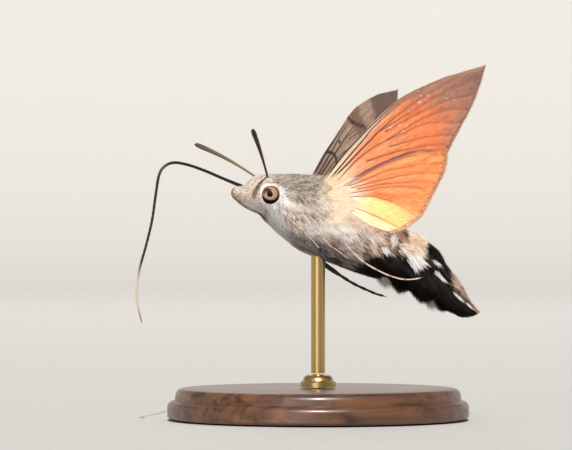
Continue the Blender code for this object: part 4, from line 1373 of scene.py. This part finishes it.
# %% Hair over the wing roots
def root_hair(side_name, count, seed):
    """Long pale hairs from the chest out over both faces of the wings' bases, thinning away from it."""
    random = np.random.default_rng(seed)
    below = random.random(count) < 0.65
    p0 = -1.7 + 3.1 * random.random(count) ** 1.3
    q0 = np.where(below, random.uniform(0.1, 4.4, count), random.uniform(-0.5, 2.4, count))
    out = unit(np.column_stack((p0 + 5.5, (q0 - 1.2) * 1.1 + random.normal(0, 0.9, count))))
    reach = random.uniform(0.6, 1.35, count)
    on_hind = (q0 > 1.5) & below
    rings = []
    for t in (0.0, 0.5, 1.0):
        p, q = p0 + out[:, 0] * reach * t, q0 + out[:, 1] * reach * t
        surface = np.where(on_hind, hind_lift(p, q), fore_lift(p, q))
        off = 0.07 - 0.5 * soft(-p0, 0.2, 1.6) * (1 - t) + 0.1 * t * (1 - soft(p0, 0.5, 2.5))
        off = off * np.where(below, -1, 1)
        rings.append(wing_place(side_name, p, q, surface + off))
    tip_p, tip_q = p0 + out[:, 0] * reach, q0 + out[:, 1] * reach
    upper = upward(side_name, p0, q0) * np.where(below, -1, 1)[:, None]
    sheet = np.where(on_hind[:, None], hind_under(tip_p, tip_q), fore_under(tip_p, tip_q))
    tone = random.random(count)
    pale = np.tile(srgb(228, 206, 180), (count, 1))
    pale = blend_in(pale, srgb(178, 136, 104), soft(tone, 0.45, 1.0) * 0.85)
    near = soft(tip_p, 1.0, 4.2)[:, None] * 0.85
    pale = pale * (1 - near) + sheet * near
    grey = blend_in(np.tile(srgb(206, 184, 162), (count, 1)), srgb(130, 108, 92), tone)
    colours = np.where(below[:, None], pale, grey)
    uv = np.column_stack((0.1 + 0.8 * (p0 + 1) / 4, 0.05 + 0.4 * (q0 + 1) / 6 + 0.45 * below))
    widths = random.uniform(0.055, 0.09, count)
    for face, chosen in (("under", below), ("upper", ~below)):
        face_rings = [ring[chosen] for ring in rings]
        tufts(
            f"wing_root_hair_{face}_{side_name}", face_rings, upper[chosen], widths[chosen],
            colours[chosen], uv[chosen], tip_shade=1.05, lit_as_skin=face == "under",
        )


root_hair("left", 3000, 70)
root_hair("right", 3000, 71)

# %% [markdown]
# ## Legs
#
# The legs are folded back along the body. A shin is thick with scales, and a foot has five short joints and a
# pair of claws. The near hind leg is pale with brown rings, and the fore and middle legs are a little darker.
# The far hind leg is painted dark as the shade it hangs in, and every leg is painted darker on its under side
# as shade.

# %% Legs
# Each place is a length along the spine, an angle from the middle of the back and a lift.
FORE_LEG = ((6.2, 126, -0.3), (6.8, 128, -0.05), (8.8, 134, 0.06), (10.0, 138, 0.08), (11.4, 147, 0.12))
MIDDLE_LEG = (
    (9.2, 118, -0.35), (10.0, 122, -0.15), (11.3, 131, 0.04), (12.7, 138, 0.1), (14.3, 143, 0.14),
    (15.6, 147, 0.16),
)
HIND_LEG_LEFT = (
    (12.8, 121, -0.4), (13.7, 125, -0.25), (15.0, 131, -0.05), (16.3, 137, 0.15), (17.4, 141, 0.25),
    (18.7, 144, 0.35), (20.4, 145, 0.5), (21.6, 142, 0.6), (22.5, 136, 0.75),
    (23.3, 127, 0.85), (24.0, 117, 0.95),
)
HIND_LEG_RIGHT = (
    (12.0, 158, -0.3), (12.7, 159, 0.2), (14.2, 161, 0.65), (16.2, 164, 1.1), (18.6, 167, 1.6),
    (20.9, 167, 1.8), (22.5, 166, 1.7),
)
SPUR_SIDES = 6
leg_material = painted_material("leg_scales", "paint", 0.6)


def leg(name, places, side, shin_share, shin_radius, foot_radius, pale, dark):
    """A shin and a foot of five joints along places on the body, painted darker below as shade, with spurs
    and claws.
    """
    steps, sides = 150, 10
    t = np.linspace(0, 1, steps)
    s, angle, lift = curve_at(places, t).T
    lift = lift - 0.06 * between(t, 0.15, 0.85, 0.1)
    path = body_point(s, angle * side, lift)
    run = run_of(path)
    foot = np.clip((run - shin_share) / (1 - shin_share), 0, 1)
    joint = (foot * 5) % 1.0
    radius = np.where(
        run < shin_share,
        np.interp(
            run, (0, 0.06, shin_share * 0.8, shin_share), (foot_radius, shin_radius, shin_radius, foot_radius)
        ),
        foot_radius * (1 - 0.3 * foot) * (0.84 + 0.24 * soft(joint, 0.0, 0.8)),
    )
    radius = radius * np.interp(run, (0.985, 1.0), (1, 0.35))
    bm = bmesh.new()
    sweep(bm, path, radius, sides=sides)
    bm.normal_update()
    ring = np.where(run < shin_share, 0.5 * noise(run * 60, run * 0, 5), soft(joint, 0.74, 0.88))
    # painted shade: faces that point down are coloured darker; the rings are the leg's own
    low = soft(np.array([-v.normal.z for v in bm.verts]), -0.15, 0.45)
    shades = np.clip(np.repeat(ring, sides) * 0.6 + low * 0.95, 0, 1)
    colours = blend_in(np.tile(pale, (len(shades), 1)), dark, shades)
    tip, before = path[-1], path[-6]
    ahead = unit(tip - before)
    aside = np.array((0.0, 1.0, 0.0))
    for sign in (-1, 1):
        claw = tip + np.outer((-0.05, 0.12, 0.24, 0.32), ahead)
        claw += np.outer((0, 0.05, 0.09, 0.08), aside * sign)
        claw[:, 2] -= (0, 0.0, 0.02, 0.08)
        sweep(bm, claw, (0.05, 0.04, 0.03, 0.012), sides=SPUR_SIDES)
        colours = np.vstack((colours, np.tile(srgb(70, 40, 28), (len(claw) * SPUR_SIDES, 1))))
    for place, sign in ((0.55, -1), (0.97, -1), (0.97, 1)):
        k = int(np.searchsorted(run, shin_share * place))
        ahead = unit(path[min(k + 4, steps - 1)] - path[k])
        spur = path[k] + np.outer((0.0, 0.3, 0.6), ahead) + np.outer((0.05, 0.16, 0.22), aside * sign)
        sweep(bm, spur, (0.06, 0.045, 0.012), sides=SPUR_SIDES)
        colours = np.vstack((colours, np.tile(pale, (len(spur) * SPUR_SIDES, 1))))
    bmesh.ops.recalc_face_normals(bm, faces=bm.faces)
    piece = show(name + "_jointed", bm, leg_material)
    colour_attribute(piece.data, "paint", colours)
    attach(piece, "root")
    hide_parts(name)


# the darker colour of each leg is both its brown rings and the painted shade on its under side
CREAM, BROWN_RINGS_AND_SHADE = srgb(246, 224, 204), srgb(104, 58, 40)
# painted shade: the far hind leg hangs in the body's shadow, so it is coloured dark instead of pale like the
# near one
LEG_PAINTED_DEEP_SHADE, LEG_PAINTED_SHADE = srgb(14, 11, 11), srgb(46, 36, 32)
for side, side_name in ((1, "left"), (-1, "right")):
    leg("leg_fore_" + side_name, FORE_LEG, side, 0.4, 0.12, 0.10, srgb(232, 200, 176), BROWN_RINGS_AND_SHADE)
    leg("leg_middle_" + side_name, MIDDLE_LEG, side, 0.35, 0.12, 0.10, srgb(232, 200, 176), BROWN_RINGS_AND_SHADE)
leg("leg_hind_left", HIND_LEG_LEFT, 1, 0.25, 0.13, 0.125, CREAM, BROWN_RINGS_AND_SHADE)
leg("leg_hind_right", HIND_LEG_RIGHT, -1, 0.42, 0.27, 0.18, LEG_PAINTED_SHADE, LEG_PAINTED_DEEP_SHADE)

# %% [markdown]
# ## Stand
#
# The base is turned from dark wood and lacquered: a disc with a small bead at its edge, made by
# spinning its outline. Collar and rod are satin brass. They fill the same places as their solids.

# %% Stand
BASE_RADIUS, BASE_HEIGHT = 17.0, 3.4
ROD_FOOT = 3.55


def turned(name, outline, material, segments=160):
    """A solid turned about the upright axis from its outline in mm, from the bottom centre up."""
    bm = bmesh.new()
    verts = [bm.verts.new((r * MM, 0, z * MM)) for r, z in outline]
    edges = [bm.edges.new(pair) for pair in zip(verts, verts[1:])]
    bmesh.ops.spin(
        bm, geom=verts + edges, axis=(0, 0, 1), cent=(0, 0, 0), angle=math.tau, steps=segments, use_merge=True
    )
    bmesh.ops.remove_doubles(bm, verts=bm.verts, dist=1e-7)
    bmesh.ops.recalc_face_normals(bm, faces=bm.faces)
    piece = show(name, bm, material)
    piece.data.set_sharp_from_angle(angle=math.radians(40))
    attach(piece, "root")
    return piece


def arc(centre, radius, start, end, steps=8):
    """Outline points on an arc, in mm, between two angles in degrees."""
    turns = np.radians(np.linspace(start, end, steps))
    return [(centre[0] + radius * math.cos(a), centre[1] + radius * math.sin(a)) for a in turns]


def wood_material():
    """Dark wood with its grain along one direction, under thin lacquer."""
    material = new_material("turned_wood", roughness=0.38, Coat_Weight=0.25, Coat_Roughness=0.2)
    shader = material.node_tree.nodes["Principled BSDF"]
    place = add_node(material, "ShaderNodeTexCoord")
    grain_way = stretched(material, place, "Object", (60, 700, 700), math.radians(12))
    grain = add_node(material, "ShaderNodeTexNoise", Scale=1.0, Detail=6.0, Roughness=0.6, Distortion=0.6)
    link(material, grain_way, "Vector", grain, "Vector")
    tones = tone_ramp(material, ((0.32, srgb(46, 28, 20)), (0.68, srgb(112, 72, 46))))
    link(material, grain, "Fac", tones, "Fac")
    link(material, tones, "Color", shader, "Base Color")
    rough_surface(material, grain, "Fac", 0.12, 0.00005)
    return material


def brass_material():
    """Satin brass with fine lines round it, as a lathe and emery cloth leave them."""
    material = new_material("satin_brass", srgb(198, 168, 112), 0.3, Metallic=1.0)
    place = add_node(material, "ShaderNodeTexCoord")
    stretch = stretched(material, place, "Object", (900, 900, 9000))
    lines = add_node(material, "ShaderNodeTexNoise", Scale=1.0, Detail=2.0)
    link(material, stretch, "Vector", lines, "Vector")
    rough_surface(material, lines, "Fac", 0.15, 0.00001)
    return material


base_outline = (
    [(0, 0), (BASE_RADIUS - 0.25, 0), (BASE_RADIUS, 0.25)]
    + arc((BASE_RADIUS - 0.7, 1.3), 0.7, 0, 80)
    + [(BASE_RADIUS - 0.85, 2.1)]
    + arc((BASE_RADIUS - 1.75, 2.55), 0.85, 0, 90)
    + [(0, BASE_HEIGHT)]
)
brass = brass_material()
base = turned("stand_base_turned", base_outline, wood_material())
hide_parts("stand_base")
collar_outline = (
    [(0, ROD_FOOT), (2.0, ROD_FOOT), (2.0, ROD_FOOT + 0.55), (1.75, ROD_FOOT + 0.7)]
    + arc((0.95, ROD_FOOT + 0.6), 0.8, 20, 90)
    + [(0, ROD_FOOT + 1.4)]
)
collar = turned("stand_collar_turned", collar_outline, brass, 64)
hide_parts("stand_collar")
rod_outline = [(0, ROD_FOOT + 1.55), (0.8, ROD_FOOT + 1.55), (0.8, 19.2), (0, 19.2)]
rod = turned("stand_rod_turned", rod_outline, brass, 48)
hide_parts("stand_rod")
print("stand: base %.1f mm across" % (2 * BASE_RADIUS))

# %% [markdown]
# ## Light through the wings
#
# A moth's wing is a film with one layer of scales on each side, and bright light passes through it.
# The model's wings are thicker, so the key lamp is two lamps here: one lights the body and is not
# blocked by the wings, and the other lights all the rest and throws the whole moth's shadow.

# %% One key lamp for the body and one for the rest
def named_collection(name, pieces):
    """A collection of pieces, for a lamp's lists; it is not shown itself."""
    collection = bpy.data.collections.new(name)
    for piece in pieces:
        collection.objects.link(piece)
    return collection


BODY_NAMES = ("skin", "coat_", "brushes", "eye_ball", "leg_", "wing_root")
pieces = [piece for piece in bpy.context.scene.objects if piece.type == "MESH"]
on_body = [piece for piece in pieces if piece.name.startswith(BODY_NAMES)]
WING_NAMES = ("forewing_", "hindwing_", "wing_root")
off_wings = [piece for piece in pieces if not piece.name.startswith(WING_NAMES)]
body_key = lamp("key_body", *KEY_LIGHT)
body_key.light_linking.receiver_collection = named_collection("lit_by_body_key", on_body)
body_key.light_linking.blocker_collection = named_collection("shades_body", off_wings)
others = [piece for piece in pieces if piece not in on_body]
bpy.data.objects["key"].light_linking.receiver_collection = named_collection("lit_by_key", others)
print("key lamp for the body:", len(on_body), "pieces; for the rest:", len(others))
